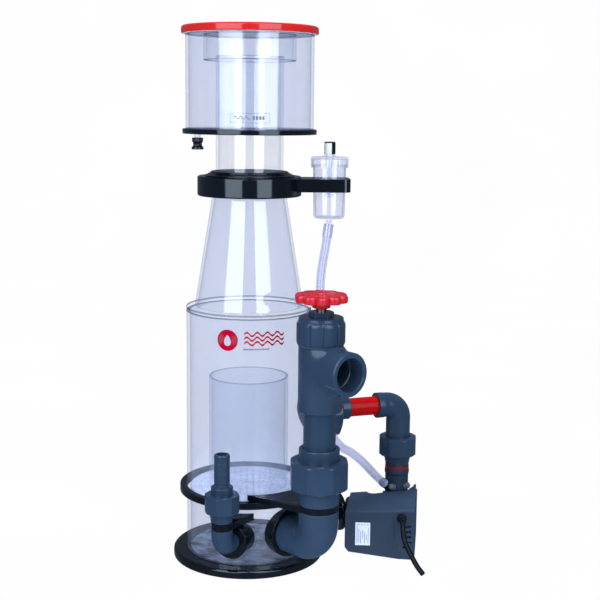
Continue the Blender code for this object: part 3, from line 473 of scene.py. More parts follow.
def sweep_mesh(name, path, radius, bore=None, sides=48, ease=0.8):
    """A round bar or tube along a path. radius is a number or a function of the length."""
    lengths = [0.0]
    for a, b in zip(path, path[1:]):
        lengths.append(lengths[-1] + (b - a).length)
    radius_at = radius if callable(radius) else (lambda length: radius)
    frames = frames_along(path)
    rings = []
    total = lengths[-1]

    def ring(place, side, other, size):
        return [place + (side * math.cos(a) + other * math.sin(a)) * size
                for a in (TURN * i / sides for i in range(sides))]

    def eased(index, outward):
        tangent, side, other = frames[index]
        size = radius_at(lengths[index])
        rows = [(ease * math.cos(a), ease * (1 - math.sin(a)))
                for a in (math.pi / 8 * t for t in range(5))]
        return [ring(path[index] - tangent * outward * depth, side, other, size - inset)
                for inset, depth in rows]

    rings += eased(0, -1.0)
    for i in range(1, len(path) - 1):
        if ease < lengths[i] < total - ease:
            rings.append(ring(path[i], frames[i][1], frames[i][2], radius_at(lengths[i])))
    rings += list(reversed(eased(len(path) - 1, 1.0)))
    if bore:
        bore_at = bore if callable(bore) else (lambda length: bore)
        inner = [ring(path[i], frames[i][1], frames[i][2], bore_at(lengths[i]))
                 for i in range(len(path))]
        rings += list(reversed(inner))
    points = [p for r in rings for p in r]
    faces = []
    last = len(rings) if bore else len(rings) - 1
    for i in range(last):
        a, b = i * sides, (i + 1) % len(rings) * sides
        faces += [(a + j, a + (j + 1) % sides, b + (j + 1) % sides, b + j)
                  for j in range(sides)]
    if not bore:
        faces += [tuple(range(sides)), tuple(range(last * sides, (last + 1) * sides))]
    return mesh_of(name, np.array([tuple(p) for p in points]), faces, True, 0.9)


def bend(start, corner, end, radius, parts=20, straight=4):
    """A path from start to end that rounds its corner with an arc."""
    start, corner, end = Vector(start), Vector(corner), Vector(end)
    back, ahead = (start - corner).normalized(), (end - corner).normalized()
    centre = corner + (back + ahead) * radius
    arc = [centre - ahead * radius * math.cos(a) - back * radius * math.sin(a)
           for a in (math.pi / 2 * i / parts for i in range(parts + 1))]
    head = [start.lerp(arc[0], i / straight) for i in range(straight)]
    tail = [arc[-1].lerp(end, (i + 1) / straight) for i in range(straight)]
    return head + arc + tail


def smooth_line(knots, steps=10):
    """A Catmull-Rom line through all knots but the first and last."""
    path = [Vector(knots[1])]
    for i in range(1, len(knots) - 2):
        a, b, c, d = (Vector(k) for k in knots[i - 1:i + 3])
        for step in range(1, steps + 1):
            t = step / steps
            path.append(0.5 * ((2 * b) + (c - a) * t + (2 * a - 5 * b + 4 * c - d) * t * t
                               + (3 * b - a - 3 * c + d) * t ** 3))
    return path


# ---- solids from distance fields ----------------------------------------------------
def rod_field(p, start, end, radius, ease=0.0):
    """Signed distance to a capped rod with eased edges."""
    start, end = np.array(start, float), np.array(end, float)
    length = np.linalg.norm(end - start)
    axis = (end - start) / length
    offset = p - start
    along = offset @ axis
    radial = np.linalg.norm(offset - np.outer(along, axis), axis=1)
    dx = radial - radius + ease
    dz = np.abs(along - length / 2) - length / 2 + ease
    outside = np.hypot(np.maximum(dx, 0), np.maximum(dz, 0))
    return np.minimum(np.maximum(dx, dz), 0) + outside - ease


def join_fields(a, b, blend):
    h = np.clip(0.5 + 0.5 * (b - a) / blend, 0, 1)
    return b * (1 - h) + a * h - blend * h * (1 - h)


def cut_fields(a, b, blend):
    """a without b, with an eased edge."""
    return -join_fields(-a, b, blend)


def field_mesh(name, field, low, high, cell, settle=12):
    """The zero surface of a field: one vertex in each mixed cell, then moved onto it."""
    lines = [np.arange(a - 1.5 * cell, b + 1.5 * cell, cell) for a, b in zip(low, high)]
    grid = np.stack(np.meshgrid(*lines, indexing="ij"), -1)
    inside = (field(grid.reshape(-1, 3)) < 0).reshape(grid.shape[:3])
    full = np.zeros([n - 1 for n in inside.shape], int)
    for dx in (0, 1):
        for dy in (0, 1):
            for dz in (0, 1):
                full += inside[dx:dx + full.shape[0], dy:dy + full.shape[1],
                               dz:dz + full.shape[2]]
    mixed = (full > 0) & (full < 8)
    number = np.full(mixed.shape, -1)
    number[mixed] = np.arange(mixed.sum())
    points = grid[:-1, :-1, :-1][mixed] + cell / 2
    faces = []
    for axis in range(3):
        near = np.moveaxis(inside, axis, 0)
        cells = np.moveaxis(number, axis, 0)
        i, j, k = np.nonzero(near[:-1, 1:-1, 1:-1] != near[1:, 1:-1, 1:-1])
        faces.append(np.stack([cells[i, j, k], cells[i, j + 1, k], cells[i, j + 1, k + 1],
                               cells[i, j, k + 1]], 1))
    faces = np.concatenate(faces)
    step = 0.05
    for _ in range(settle):
        value = field(points)
        slope = np.stack([(field(points + d) - field(points - d)) / (2 * step)
                          for d in np.eye(3) * step], 1)
        size = np.maximum((slope ** 2).sum(1), 0.05)
        move = -slope * (value / size)[:, None]
        points = points + np.clip(move, -cell, cell)
    return mesh_of(name, points, faces.tolist(), True, 1.2)


def carve(mesh, cutters):
    """The mesh with other closed meshes cut out of it."""
    target = add_object("carved", mesh)
    tools = []
    for i, cutter in enumerate(cutters):
        tool = add_object(f"tool_{i}", cutter)
        tools.append(tool)
        modifier = target.modifiers.new(f"cut_{i}", "BOOLEAN")
        modifier.operation = "DIFFERENCE"
        modifier.solver = "EXACT"
        modifier.object = tool
    depsgraph = bpy.context.evaluated_depsgraph_get()
    result = bpy.data.meshes.new_from_object(target.evaluated_get(depsgraph))
    for obj in [target] + tools:
        bpy.data.objects.remove(obj, do_unlink=True)
    result.shade_smooth()
    result.set_sharp_from_angle(angle=0.5)
    return result


def seat_on_body(mesh, centre, direction, clearance=0.3):
    """Moves the deepest rows of a piece onto the round body, along the piece's own axis."""
    centre, direction = Vector(centre), Vector(direction).normalized()
    limit = BODY_R + clearance
    for vert in mesh.vertices:
        place = vert.co / MM
        flat = Vector((place.x, place.y, 0))
        if flat.length < limit:
            half = flat.dot(direction)
            push = -half + math.sqrt(max(0.0, half * half - flat.length_squared + limit ** 2))
            vert.co = (place + direction * push) * MM
    mesh.update()


# ---- body, cone and collar ----------------------------------------------------------
OUTLET_LEG_Z = 48.0
INLET_LEG_Z = 45.0
INLET_LEG = Vector((math.cos(math.radians(64)), math.sin(math.radians(64)), 0))
INLET_LEG_END = Vector((INLET.x, INLET.y, INLET_LEG_Z)) + INLET_LEG * 25.5
HOLE_R, HOLE_PITCH = 1.7, 7.4               # of the bubble plate
NECK_HOLE = 40.1                            # radius that clears the neck tube
GROOVE_LOW, GROOVE_TOP = 450.6, 455.4       # the collar's groove for its sealing ring


def build_body():
    low, high, radius = reach("base_plate")
    inside = BODY_R - 4.5
    base = lathe("base_plate", [(0, high), (inside, high, 0), (radius - 3, high),
                                (radius - 1.6, high - 0.5), (radius, high - 2.2),
                                (radius, low + 0.8), (radius - 0.8, low), (0, low)],
                 steps=224, round_by=0.7)
    mark_faces(base, BASE_TOP, lambda spot, normal: normal.z > 0.9
               and math.hypot(spot.x, spot.y) < inside)
    clear_tube("body_tube", 4.0, CLEAR_RIM, steps=224)
    low, high, radius = reach("support_ring")
    lathe("support_ring", tube(radius, BODY_R + 0.3, low, high), steps=224, round_by=0.9)
    build_bubble_plate()
    clear_tube("inner_tube", 3.0, SOFT_RIM, finish=CLEAR_THIN, steps=160, foot=False)
    low, high, radius = reach("body_top_plate")
    plate = lathe("body_top_plate", hollow([(radius, high), (radius, low + 2.2), (radius, low)],
                                           [(60, high), (60, low)]), steps=224, round_by=0.3,
                  finish=FAINT)
    mark_rim(plate, CLEAR_RIM, lambda z: z > high - 1.7)
    for face in plate.data.polygons:
        if math.hypot(face.center.x, face.center.y) < (radius - 1) * MM:
            face.material_index = 0
    low, high, radius = reach("cone")
    lathe("cone", hollow([(44.0, high), (radius, low)], [(41.0, high), (radius - 3, low)]),
          steps=192, round_by=0.3, finish=CLEAR)
    build_collar()


def build_bubble_plate():
    low, high, radius = reach("bubble_plate")
    rim = circle((0, 0), radius, 160)
    holes = []
    for ring in range(1, int((radius - 4) / HOLE_PITCH)):
        spread = ring * HOLE_PITCH
        if abs(spread - 46.5) < HOLE_R + 2.2:
            continue
        count = int(TURN * spread / (HOLE_PITCH * 1.05))
        for i in range(count):
            a = TURN * (i + 0.5 * (ring % 2)) / count
            holes.append(circle((spread * math.cos(a), spread * math.sin(a)), HOLE_R, 12))
    mesh = polygon_slab("bubble_plate_look", rim, holes, low, high, bevel=0.35, segments=2)
    new_piece("bubble_plate_look", mesh, [BUBBLE_PLATE], "bubble_plate")


def build_collar():
    low, high, radius = reach("collar")
    lathe("collar", hollow([(radius - 1.2, high), (radius, high - 1.2), (radius, low + 1.2),
                            (radius - 1.2, low)],
                           [(41.5, high), (41.5, GROOVE_TOP), (44.4, GROOVE_TOP),
                            (44.4, GROOVE_LOW), (41.5, GROOVE_LOW), (41.5, low)]),
          steps=224, round_by=0.5)
    low, high, radius = reach("collar_o_ring")
    section = (high - low) / 2 * 1.1
    lathe("collar_o_ring", [(radius - section + section * math.cos(a),
                             (low + high) / 2 - section * math.sin(a))
                            for a in (TURN * i / 16 for i in range(16))], steps=128, round_by=0)
    low, high, radius = reach("neck_ring")
    lathe("neck_ring", hollow([(44.6, high), (46.2, high - 0.8), (46.4, high - 2.0),
                               (48.6, high - 2.6), (50.6, low + 1.6), (radius, low + 0.9),
                               (radius, low)],
                              [(NECK_HOLE, high), (NECK_HOLE, low)]), steps=192,
          round_by=0.6)


# ---- cup and lid ------------------------------------------------------------------
def build_cup():
    clear_tube("neck_tube", 3.0, SOFT_RIM, finish=CLEAR_THIN, steps=192)
    low, high, radius = reach("cup_floor")
    lathe("cup_floor", tube(radius, NECK_HOLE, low, high), steps=224, round_by=0.9)
    clear_tube("cup_tube", 3.5, SOFT_RIM, steps=224)
    low, high, radius = reach("lid")
    lid = lathe("lid", [(0, high), (radius - 1.8, high), (radius, high - 1.8),
                        (radius, low + 1.0), (radius - 1.0, low), (radius - 3, low, 0), (0, low)],
                steps=224, round_by=0.9)
    # the lid's downward faces are painted near-white: painted light in place of their shade
    mark_faces(lid, LID_UNDERSIDE_PAINTED_LIGHT, lambda spot, normal: normal.z < -0.9)
    clear_tube("lid_skirt", 3.0, CLEAR_RIM, finish=FAINT, steps=192)
    low, high, radius = reach("drain_nipple", DRAIN)
    lathe("drain_nipple", tube(radius, 2.6, low, high), DRAIN, steps=48, round_by=0.3,
          finish=MOULDED)

    def ribs(radii, height, angles):
        depth = 0.7 if 500.0 < height < 508.6 else 0.0
        return radii - depth * (0.5 + 0.5 * np.cos(12 * angles)) ** 2 * (radii > 5)

    low, high, radius = reach("drain_cap", DRAIN)
    lathe("drain_cap", [(0, 498.6), (2.0, 498.6), (2.0, 498.0), (4.5, 498.0), (4.5, high),
                        (6.3, high), (6.5, 508.5), (6.5, 504.6), (5.4, 503.6), (5.2, 501.5),
                        (5.3, 499.6), (6.9, 498.4), (6.9, low), (0, low)],
          DRAIN, steps=96, warp=ribs, round_by=0.4, finish=BLACK_ACRYLIC)


# ---- silencer -----------------------------------------------------------------------
def build_silencer():
    low, high = (v.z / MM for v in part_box("silencer_arm"))
    end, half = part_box("silencer_arm")[1].x / MM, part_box("silencer_arm")[1].y / MM
    corner = 8.0
    seat = reach("collar")[2] + 0.3
    side = math.asin(half / seat)
    outline = arc((0, 0), seat, side, -2 * side, 40)
    outline += arc((end - corner, -half + corner), corner, -math.pi / 2, math.pi / 2, 10)
    outline += arc((end - corner, half - corner), corner, 0, math.pi / 2, 10)
    hole = circle((SILENCER.x, 0), 20.1, 72)
    mesh = polygon_slab("silencer_arm_look", outline, [hole], low, high, bevel=0.8)
    new_piece("silencer_arm_look", mesh, [BLACK_ACRYLIC], "silencer_arm")
    low, high, radius = reach("silencer_cup", SILENCER)
    floor = 415.5
    lathe("silencer_cup", hollow([(radius, high), (radius, high - 2), (radius - 0.5, high - 3),
                                  (18.4, floor + 2.5), (16.8, floor), (3.9, floor - 1.2),
                                  (3.4, low + 1), (2.8, low)],
                                 [(radius - 1.6, high), (radius - 1.6, high - 3),
                                  (16.6, floor + 3.2), (15.6, floor + 1.8), (1.9, floor + 1.2),
                                  (1.8, low)]),
          SILENCER, steps=96, round_by=0.5, finish=MOULDED)
    low, high, radius = reach("silencer_lid", SILENCER)
    skirt, top = 475.5, 488.3

    def flutes(radii, height, angles):
        return radii - 0.45 * (0.5 + 0.5 * np.cos(28 * angles)) * (radii > radius - 0.6)

    lathe("silencer_lid", hollow([(5.8, high), (5.8, top + 1.4), (7.2, top + 0.6),
                                  (9.0, top - 0.2), (radius - 1.4, top - 0.6),
                                  (radius, top - 1.8), (radius, skirt + 3), (radius, skirt)],
                                 [(4.4, high), (4.4, low), (5.8, low), (5.8, top - 3.0),
                                  (20.65, top - 3.0), (20.65, skirt)]),
          SILENCER, steps=168, warp=flutes, round_by=0.5, finish=MOULDED)
    low, high, radius = reach("air_adjuster", SILENCER)
    cap = lathe("air_adjuster", [(0, high), (5.6, high), (radius, high - 1.1), (radius, low),
                                 (6.1, low), (6.1, 500.3), (0, 500.3)],
                SILENCER, steps=96, round_by=0.4)
    # Outer side faces turned to the left and front take the pale material: painted light on that side of the cap.
    cap.data.materials.append(PALE_PAINTED_LIGHT)
    for face in cap.data.polygons:
        turn = math.degrees(math.atan2(face.center.y / MM - SILENCER.y,
                                       face.center.x / MM - SILENCER.x))
        outer = math.hypot(face.center.x / MM - SILENCER.x, face.center.y / MM) > 6.2
        if outer and (turn < -75 or turn > 120) and face.center.z / MM < high - 2.2:
            face.material_index = 1


# ---- unions -------------------------------------------------------------------------
def octagon(size, first, span, chamfer, steep):
    """Warps the outer rows to an eight-sided nut with cone-cut ends."""
    start, end = span
    apothem = size * math.cos(math.pi / 8) * 1.004

    def warp(radii, height, angles):
        turn = (angles - first + math.pi / 8) % (math.pi / 4) - math.pi / 8
        corner = size - 0.25 - 0.36 * (np.abs(turn) / (math.pi / 8)) ** 8
        flat = np.minimum(apothem / np.cos(turn), corner)
        near = min(height - start, end - height)
        lower = steep if height - start < end - height else 1.0
        cone = size - chamfer + near / (0.55 * lower)
        return np.where(radii > apothem - 0.6, np.minimum(flat, cone), radii)
    return warp


def nut(node, origin, direction, bores, first, chamfer, steep=1.0):
    """A union nut: octagonal outside, with its lip bore and its thread bore."""
    start, end, size = reach(node, origin, direction)
    lip_bore, thread_bore, lip = bores
    rows = 26
    outer = [(size - chamfer - 1.5, end)]
    outer += [(size, end - (end - start) * i / rows) for i in range(rows + 1)]
    outer += [(size - chamfer - 1.5, start)]
    inner = [(lip_bore, end), (lip_bore, lip), (thread_bore, lip), (thread_bore, start)]
    return lathe(node, hollow(outer, inner), origin, direction, 256,
                 octagon(size, first, (start, end), chamfer, steep), 0)


def thread_rows(radius, start, end, pitch=2.6, depth=0.9):
    """Outer rows with ring-shaped thread crests, from end down to start."""
    rows, place = [], end
    while place > start + pitch:
        rows += [(radius - depth, place), (radius, place - 0.35 * pitch),
                 (radius, place - 0.55 * pitch), (radius - depth, place - 0.9 * pitch)]
        place -= pitch
    return rows + [(radius - depth, start)]


def build_union(prefix, origin, direction, bore, socket, thread, tail, spigot, first, chamfer):
    """A union's threaded body and its nut; returns the body, and the room for its other end."""
    start, end, _ = reach(prefix + "_union_nut", origin, direction)
    length = end - start
    seat, lip = start + length * 0.66, start + length * 0.80
    outer = [(thread - 0.5, seat)] + thread_rows(thread, start + length * 0.12, seat - 0.5)
    outer += [(thread - 0.9, start + length * 0.12), (socket + 1.6, start + length * 0.07),
              (socket, start + length * 0.02), (socket, tail)]
    inner = [(bore, seat), (bore, tail)]
    if spigot:
        stub_r, stub_bore, stub_start = spigot
        outer += [(stub_r, tail), (stub_r, stub_start)]
        inner = [(stub_bore, seat), (stub_bore, stub_start)]
    body = lathe(prefix + "_union_body", hollow(outer, inner), origin, direction, 160,
                 round_by=0.5)
    nut(prefix + "_union_nut", origin, direction, (socket + 0.6, thread + 0.5, lip), first,
        chamfer)
    return body, seat + 0.3, lip - 0.3


# ---- outlet stack -------------------------------------------------------------------
def plate_outline(axis, end_radius, foot):
    """A bracket's outline: round about a pipe, with straight sides down to the body."""
    out = Vector((axis.x, axis.y, 0)).normalized()
    side = Vector((-out.y, out.x, 0))
    seat = BODY_R + 0.3
    outline = [axis + (side * math.cos(a) + out * math.sin(a)) * end_radius
               for a in (math.pi * i / 48 for i in range(49))]
    corners = []
    for sign in (-1, 1):
        a, b = axis + side * end_radius * sign, out * 55 + side * foot * sign
        for i in range(400):
            point = a.lerp(b, i / 400)
            if point.length <= seat:
                break
        corners.append(math.atan2(point.y, point.x))
    sweep = (corners[1] - corners[0] + math.pi) % TURN - math.pi
    outline += [Vector((seat * math.cos(corners[0] + sweep * i / 48),
                        seat * math.sin(corners[0] + sweep * i / 48), 0)) for i in range(49)]
    return [(p.x, p.y) for p in outline]


def build_plate(node, axis, end_radius, bore, foot):
    low, high = (v.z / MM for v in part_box(node))
    mesh = polygon_slab(node + "_look", plate_outline(axis, end_radius, foot),
                        [circle(axis, bore, 64)], low, high, bevel=0.7)
    new_piece(node + "_look", mesh, [BLACK_ACRYLIC], node)


def build_flange(node, centre, direction, bore):
    """A thick black disc that stands on the round body about an elbow's leg."""
    low, front, radius = reach(node, centre, direction)
    deep = front - 8
    mesh = lathe_mesh(node + "_look", hollow([(radius, front), (radius, deep), (radius, low - 8)],
                                             [(bore, front), (bore, deep), (bore, low - 8)]),
                      centre, direction, 160, None, 0.7)
    seat_on_body(mesh, centre, direction)
    new_piece(node + "_look", mesh, [BLACK_ACRYLIC], node)


def build_elbow(node, path, radius, bore, sides=64):
    mesh = sweep_mesh(node + "_look", path, radius, bore, sides, 1.0)
    return new_piece(node + "_look", mesh, [SLATE], node)


def build_outlet():
    socket = 23.4
    pipe = reach("riser_pipe", OUTLET)[2]
    foot = Vector((0, 0, OUTLET_LEG_Z))
    build_flange("outlet_flange", foot, BRANCH, socket + 0.3)
    plate_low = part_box("outlet_support_plate")[0].z / MM
    plate_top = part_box("outlet_support_plate")[1].z / MM
    corner = OUTLET + foot
    build_elbow("outlet_elbow", bend(OUTLET + UP * (plate_low - 0.3), corner,
                                     BRANCH * 78.5 + foot, 26, 28), socket - 0.2, pipe + 0.6)
    build_plate("outlet_support_plate", OUTLET, socket, pipe + 0.3, 48.0)
    _, low, lip = build_union("outlet", OUTLET, UP, pipe + 0.4, socket, 30.3, plate_top + 0.3,
                              (pipe, pipe - 3, 74.0), -math.pi / 2, 3.6)
    end = reach("outlet_union_end", OUTLET)[1]
    lathe("outlet_union_end", hollow([(socket - 0.8, end), (socket, end - 1.0), (socket, lip + 5),
                                      (socket, lip), (30.1, lip), (30.1, low)],
                                     [(pipe + 0.4, end), (pipe + 0.4, low)]), OUTLET,
          steps=160, round_by=0.6)
    low, high, _ = reach("riser_pipe", OUTLET)
    lathe("riser_pipe", tube(pipe, pipe - 3, low, high), OUTLET, steps=128)
    build_valve(pipe)


def build_valve(pipe):
    low, high, _ = reach("valve_tee", OUTLET)
    size, neck, top, branch_z, length = 25.1, 24.5, 281.0, 256.5, 50.5
    start = OUTLET + UP * branch_z
    face = start + BRANCH * length

    def tee(p):
        main = rod_field(p, OUTLET + UP * low, OUTLET + UP * top, size, 1.4)
        arm = rod_field(p, start, face, size, 1.8)
        root = rod_field(p, start, start + BRANCH * (length - 17), size + 0.2, 5.0)
        body = join_fields(join_fields(main, root, 14.0), arm, 1.5)
        mouth = rod_field(p, OUTLET + UP * 250, OUTLET + UP * high, neck, 0.5)
        body = join_fields(body, mouth, 0.8)
        for a, b, bore in ((OUTLET + UP * 150, OUTLET + UP * 229, pipe + 0.3),
                           (OUTLET + UP * 227, OUTLET + UP * 330, 20.4),
                           (start, start + BRANCH * 100, 17.4),
                           (face - BRANCH * 21, face + BRANCH * 60, 19.1)):
            body = cut_fields(body, rod_field(p, a, b, bore, 0.2), 0.9)
        return body

    box = [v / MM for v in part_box("valve_tee")]
    mesh = field_mesh("valve_tee_look", tee, box[0] - Vector((2, 2, 2)),
                      box[1] + Vector((2, 2, 2)), 1.0)
    new_piece("valve_tee_look", mesh, [SLATE], "valve_tee", weighted=False)

    low, high, radius = reach("bonnet", OUTLET)
    flute_low, flute_top = low + 1.2, 309.6

    def flutes(radii, height, angles):
        ends = min(1.0, max(0.0, (height - flute_low) / 3.5),
                   max(0.0, (flute_top - height) / 3.0))
        rise = np.minimum(1.0, 2.0 * np.abs(np.sin(5 * (angles + math.pi / 2 - 0.09))) ** 0.8)
        pad = 1.6 * math.sqrt(max(0.0, ends)) * rise
        return np.where(radii > 25.5, np.minimum(25.9 + pad, radii), radii)

    rows = [(radius, 310.6 - (310.6 - low) * i / 30) for i in range(31)]
    lathe("bonnet", hollow([(24.0, high), (25.2, high - 0.8), (25.4, 311.0)] + rows
                           + [(radius - 1.4, low)],
                           [(6.3, high), (6.3, 305.4), (24.9, 305.4), (24.9, low)]),
          OUTLET, steps=384, warp=flutes, round_by=0)
    low, high, radius = reach("packing_nut", OUTLET)

    def hexagon(radii, height, angles):
        turn = angles % (math.pi / 3) - math.pi / 6
        flat = np.minimum(radius * math.cos(math.pi / 6) / np.cos(turn), radius - 0.3)
        cone = radius - 1.9 + (high - height) * 1.8
        return np.where(radii > 8, np.minimum(flat, cone), radii)

    rows = [(radius, high - (high - low) * i / 14) for i in range(15)]
    lathe("packing_nut", hollow([(10.0, high)] + rows, [(6.3, high), (6.3, low)]), OUTLET,
          steps=192, warp=hexagon, round_by=0)
    low, high, radius = reach("valve_plug", OUTLET)
    lathe("valve_plug", hollow([(radius, high), (radius, 258), (radius - 1.2, 257),
                                (radius - 1.2, 252), (radius, 251), (radius, low)],
                               [(3.6, high), (3.6, 262.3), (7.3, 262.3), (7.3, low)]), OUTLET,
          steps=96, round_by=0.8)
    # The stem takes the darkened steel: painted shade under the handwheel.
    low, high, _ = reach("valve_stem", OUTLET)
    lathe("valve_stem", [(0, high), (4.4, high), (4.4, 327), (5.9, 326.6), (5.9, 272.6),
                         (3.2, 272.6), (3.2, 262), (6.6, 262), (6.6, low), (0, low)], OUTLET,
          steps=64, round_by=0.3, finish=STEM_STEEL_PAINTED_SHADE)
    build_wheel()


def build_wheel():
    low, high, radius = reach("handwheel", OUTLET)
    rim_low = 331.2

    def lobes(radii, height, angles):
        wave = (0.5 + 0.5 * np.cos(10 * (angles + math.pi / 2))) ** 0.45
        reach_in = np.clip((radii - 21.0) / 6.0, 0, 1)
        return radii - 5.2 * (1 - wave) * reach_in

    lathe("handwheel", [(0, high - 1.0), (5.0, high - 1.1), (6.2, high - 1.9), (10.0, high - 2.2),
                        (15.0, high - 1.2), (20.0, high - 0.1), (radius - 5.0, high - 0.3),
                        (radius - 1.6, high - 1.3), (radius, high - 3.2), (radius, rim_low + 1.6),
                        (radius - 1.2, rim_low), (20.0, rim_low + 0.6), (13.0, rim_low - 0.4),
                        (11.0, rim_low - 2.0), (10.2, low + 0.8), (9.4, low), (6.2, low),
                        (6.2, 327.3), (0, 327.3)], OUTLET, steps=320, warp=lobes, round_by=1.6)


# ---- inlet --------------------------------------------------------------------------
def build_inlet():
    pipe = 12.2
    plate_low, plate_top = (v.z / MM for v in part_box("inlet_support_plate"))
    build_flange("inlet_flange", INLET_LEG_END, -INLET_LEG, pipe + 0.3)
    build_elbow("inlet_elbow", bend(INLET + UP * (plate_low - 0.3), INLET + UP * INLET_LEG_Z,
                                    INLET_LEG_END, 14, 24), pipe, 9.0, 56)
    build_plate("inlet_support_plate", INLET, pipe + 0.2, 9.4, 33.0)
    _, low, lip = build_union("inlet", INLET, UP, 9.0, pipe, 17.2, plate_top + 0.3,
                              (8.6, 6.6, 58.5), math.radians(-80), 2.2)
    _, end, _ = reach("inlet_hose_tail", INLET)
    tail = 9.3
    barbs = [(tail - 1.0, end), (tail - 0.2, end - 1.2)]
    for i in range(5):
        place = end - 4 - i * 6.0
        barbs += [(tail, place), (tail - 0.3, place - 0.5), (tail - 0.15, place - 5.4)]
    lathe("inlet_hose_tail", hollow(barbs + [(tail - 0.5, 119.5), (10.8, 118.4), (12.8, 116.6),
                                             (12.9, lip + 1.5), (12.2, lip), (17.0, lip),
                                             (17.0, low)],
                                    [(6.6, end), (6.6, lip), (9.0, lip - 3), (9.0, low)]),
          INLET, steps=96, round_by=0.5)


# ---- return line ----------------------------------------------------------------------
def build_return():
    red = 11.6
    body, low, lip = build_union("return", RETURN, ALONG, 16.0, 24.0, 31.2, 62.0,
                                 None, math.pi / 8, 3.4)
    seat_on_body(body.data, RETURN, ALONG)
    low_end, end, _ = reach("return_union_end", RETURN, ALONG)
    lathe("return_union_end", hollow([(13.4, end), (14.2, end - 0.8), (14.2, 118.6),
                                      (15.6, 117.4), (22.0, 117.0), (24.0, 115.2),
                                      (24.0, lip), (31.0, lip), (31.0, low_end)],
                                     [(red + 0.3, end), (red + 0.3, lip + 4), (16.0, lip + 4),
                                      (16.0, low_end)]), RETURN, ALONG, 128, round_by=0.5)
    low, high, _ = reach("return_pipe", RETURN, ALONG)
    lathe("return_pipe", tube(red, red - 2.2, low, high), RETURN, ALONG, 96, finish=RED_PIPE)
    start = reach("return_elbow", RETURN, ALONG)[0]
    size = 15.4
    bottom = reach("return_elbow", RISER)[0]
    end_at = RISER + UP * bottom
    path = bend(RETURN + ALONG * start, RISER + UP * RETURN.z, end_at, 17.5, 26, 6)
    total = sum((b - a).length for a, b in zip(path, path[1:]))

    def swell(length):
        return size + 0.55 * max(0.0, 1 - max(0.0, length - 9) / 1.5) \
            + 5.4 * max(0.0, min(1.0, (length - total + 4.4) / 0.4))

    mesh = sweep_mesh("return_elbow_look", path[:-1] + dense_tail(path), swell, red + 0.4, 72,
                      0.7)
    new_piece("return_elbow_look", mesh, [SLATE], "return_elbow")
    build_pump_union()


def dense_tail(path):
    """The last leg of a path in short steps, so that a flange there has a clean edge."""
    a, b = path[-2], path[-1]
    return [a.lerp(b, i / 40) for i in range(1, 41)]


def build_pump_union():
    start, end, _ = reach("pump_union_nut", RISER)
    nut("pump_union_nut", RISER, UP, (16.0, 21.4, end - 5), -math.pi / 2 - 0.12, 3.0, 1.6)
    low, high, _ = reach("pump_union_body", RISER)
    lathe("pump_union_body", hollow([(21.0, high)] + thread_rows(21.0, start + 3, high - 0.6)
                                    + [(20.0, start + 3), (16.4, start + 1), (16.4, 101.5),
                                       (15.8, 100.8), (15.8, 98.2), (15.2, 97.6), (15.2, low)],
                                    [(11.4, high), (11.4, low)]), RISER, steps=128,
          round_by=0.4)
    low, high, radius = reach("pump_seal_ring", RISER)
    lathe("pump_seal_ring", hollow([(radius - 1.6, high), (radius - 1.6, high - 1.6),
                                    (radius, high - 2.0), (radius, low)],
                                   [(11.0, high), (11.0, low)]), RISER, steps=96, round_by=0.4,
          finish=DARK_RED)


# ---- pump ---------------------------------------------------------------------------
LEAN = 0.163                    # the sides lean to +X by this much for each unit of +Y
DISCHARGE_Z = 38.5
FRONT_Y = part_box("pump_housing")[0].y / MM
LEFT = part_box("pump_housing")[0].x / MM
RIGHT = LEFT + 86.0
FRONT = Vector((0, -1, 0))


def on_front(x, z):
    return Vector((x, FRONT_Y, z))


def leaning_block(name, outline, rear, bevel):
    """A solid between the pump's front plane and its slanted rear plane."""
    def back_point(start):
        lean = Vector((LEAN, 1, 0))
        t = (rear - start.dot(BACK) + RISER.dot(BACK)) / lean.dot(BACK)
        return start + lean * t

    front = [on_front(x, z) for x, z in outline]
    mesh = prism(name, front, [back_point(start) for start in front])
    work = bmesh.new()
    work.from_mesh(mesh)
    edges = [e for e in work.edges if e.calc_face_angle(0) > 0.2]
    ease_edges(work, edges, bevel, 4)
    bmesh.ops.recalc_face_normals(work, faces=work.faces)
    work.to_mesh(mesh)
    work.free()
    return mesh


def box_mesh(name, centre, half, axes, bevel=0.0):
    """A box about a point, with its half sizes along three axes."""
    corners = [Vector(centre) + axes[0] * (half[0] * a) + axes[1] * (half[1] * b)
               + axes[2] * (half[2] * c)
               for a in (-1, 1) for b in (-1, 1) for c in (-1, 1)]
    faces = [(0, 1, 3, 2), (4, 6, 7, 5), (0, 4, 5, 1), (2, 3, 7, 6), (0, 2, 6, 4), (1, 5, 7, 3)]
    mesh = mesh_of(name, [tuple(p) for p in corners], faces, False)
    if bevel:
        work = bmesh.new()
        work.from_mesh(mesh)
        ease_edges(work, work.edges[:], bevel, 3)
        work.to_mesh(mesh)
        work.free()
        mesh.shade_smooth()
        mesh.set_sharp_from_angle(angle=0.6)
    return mesh


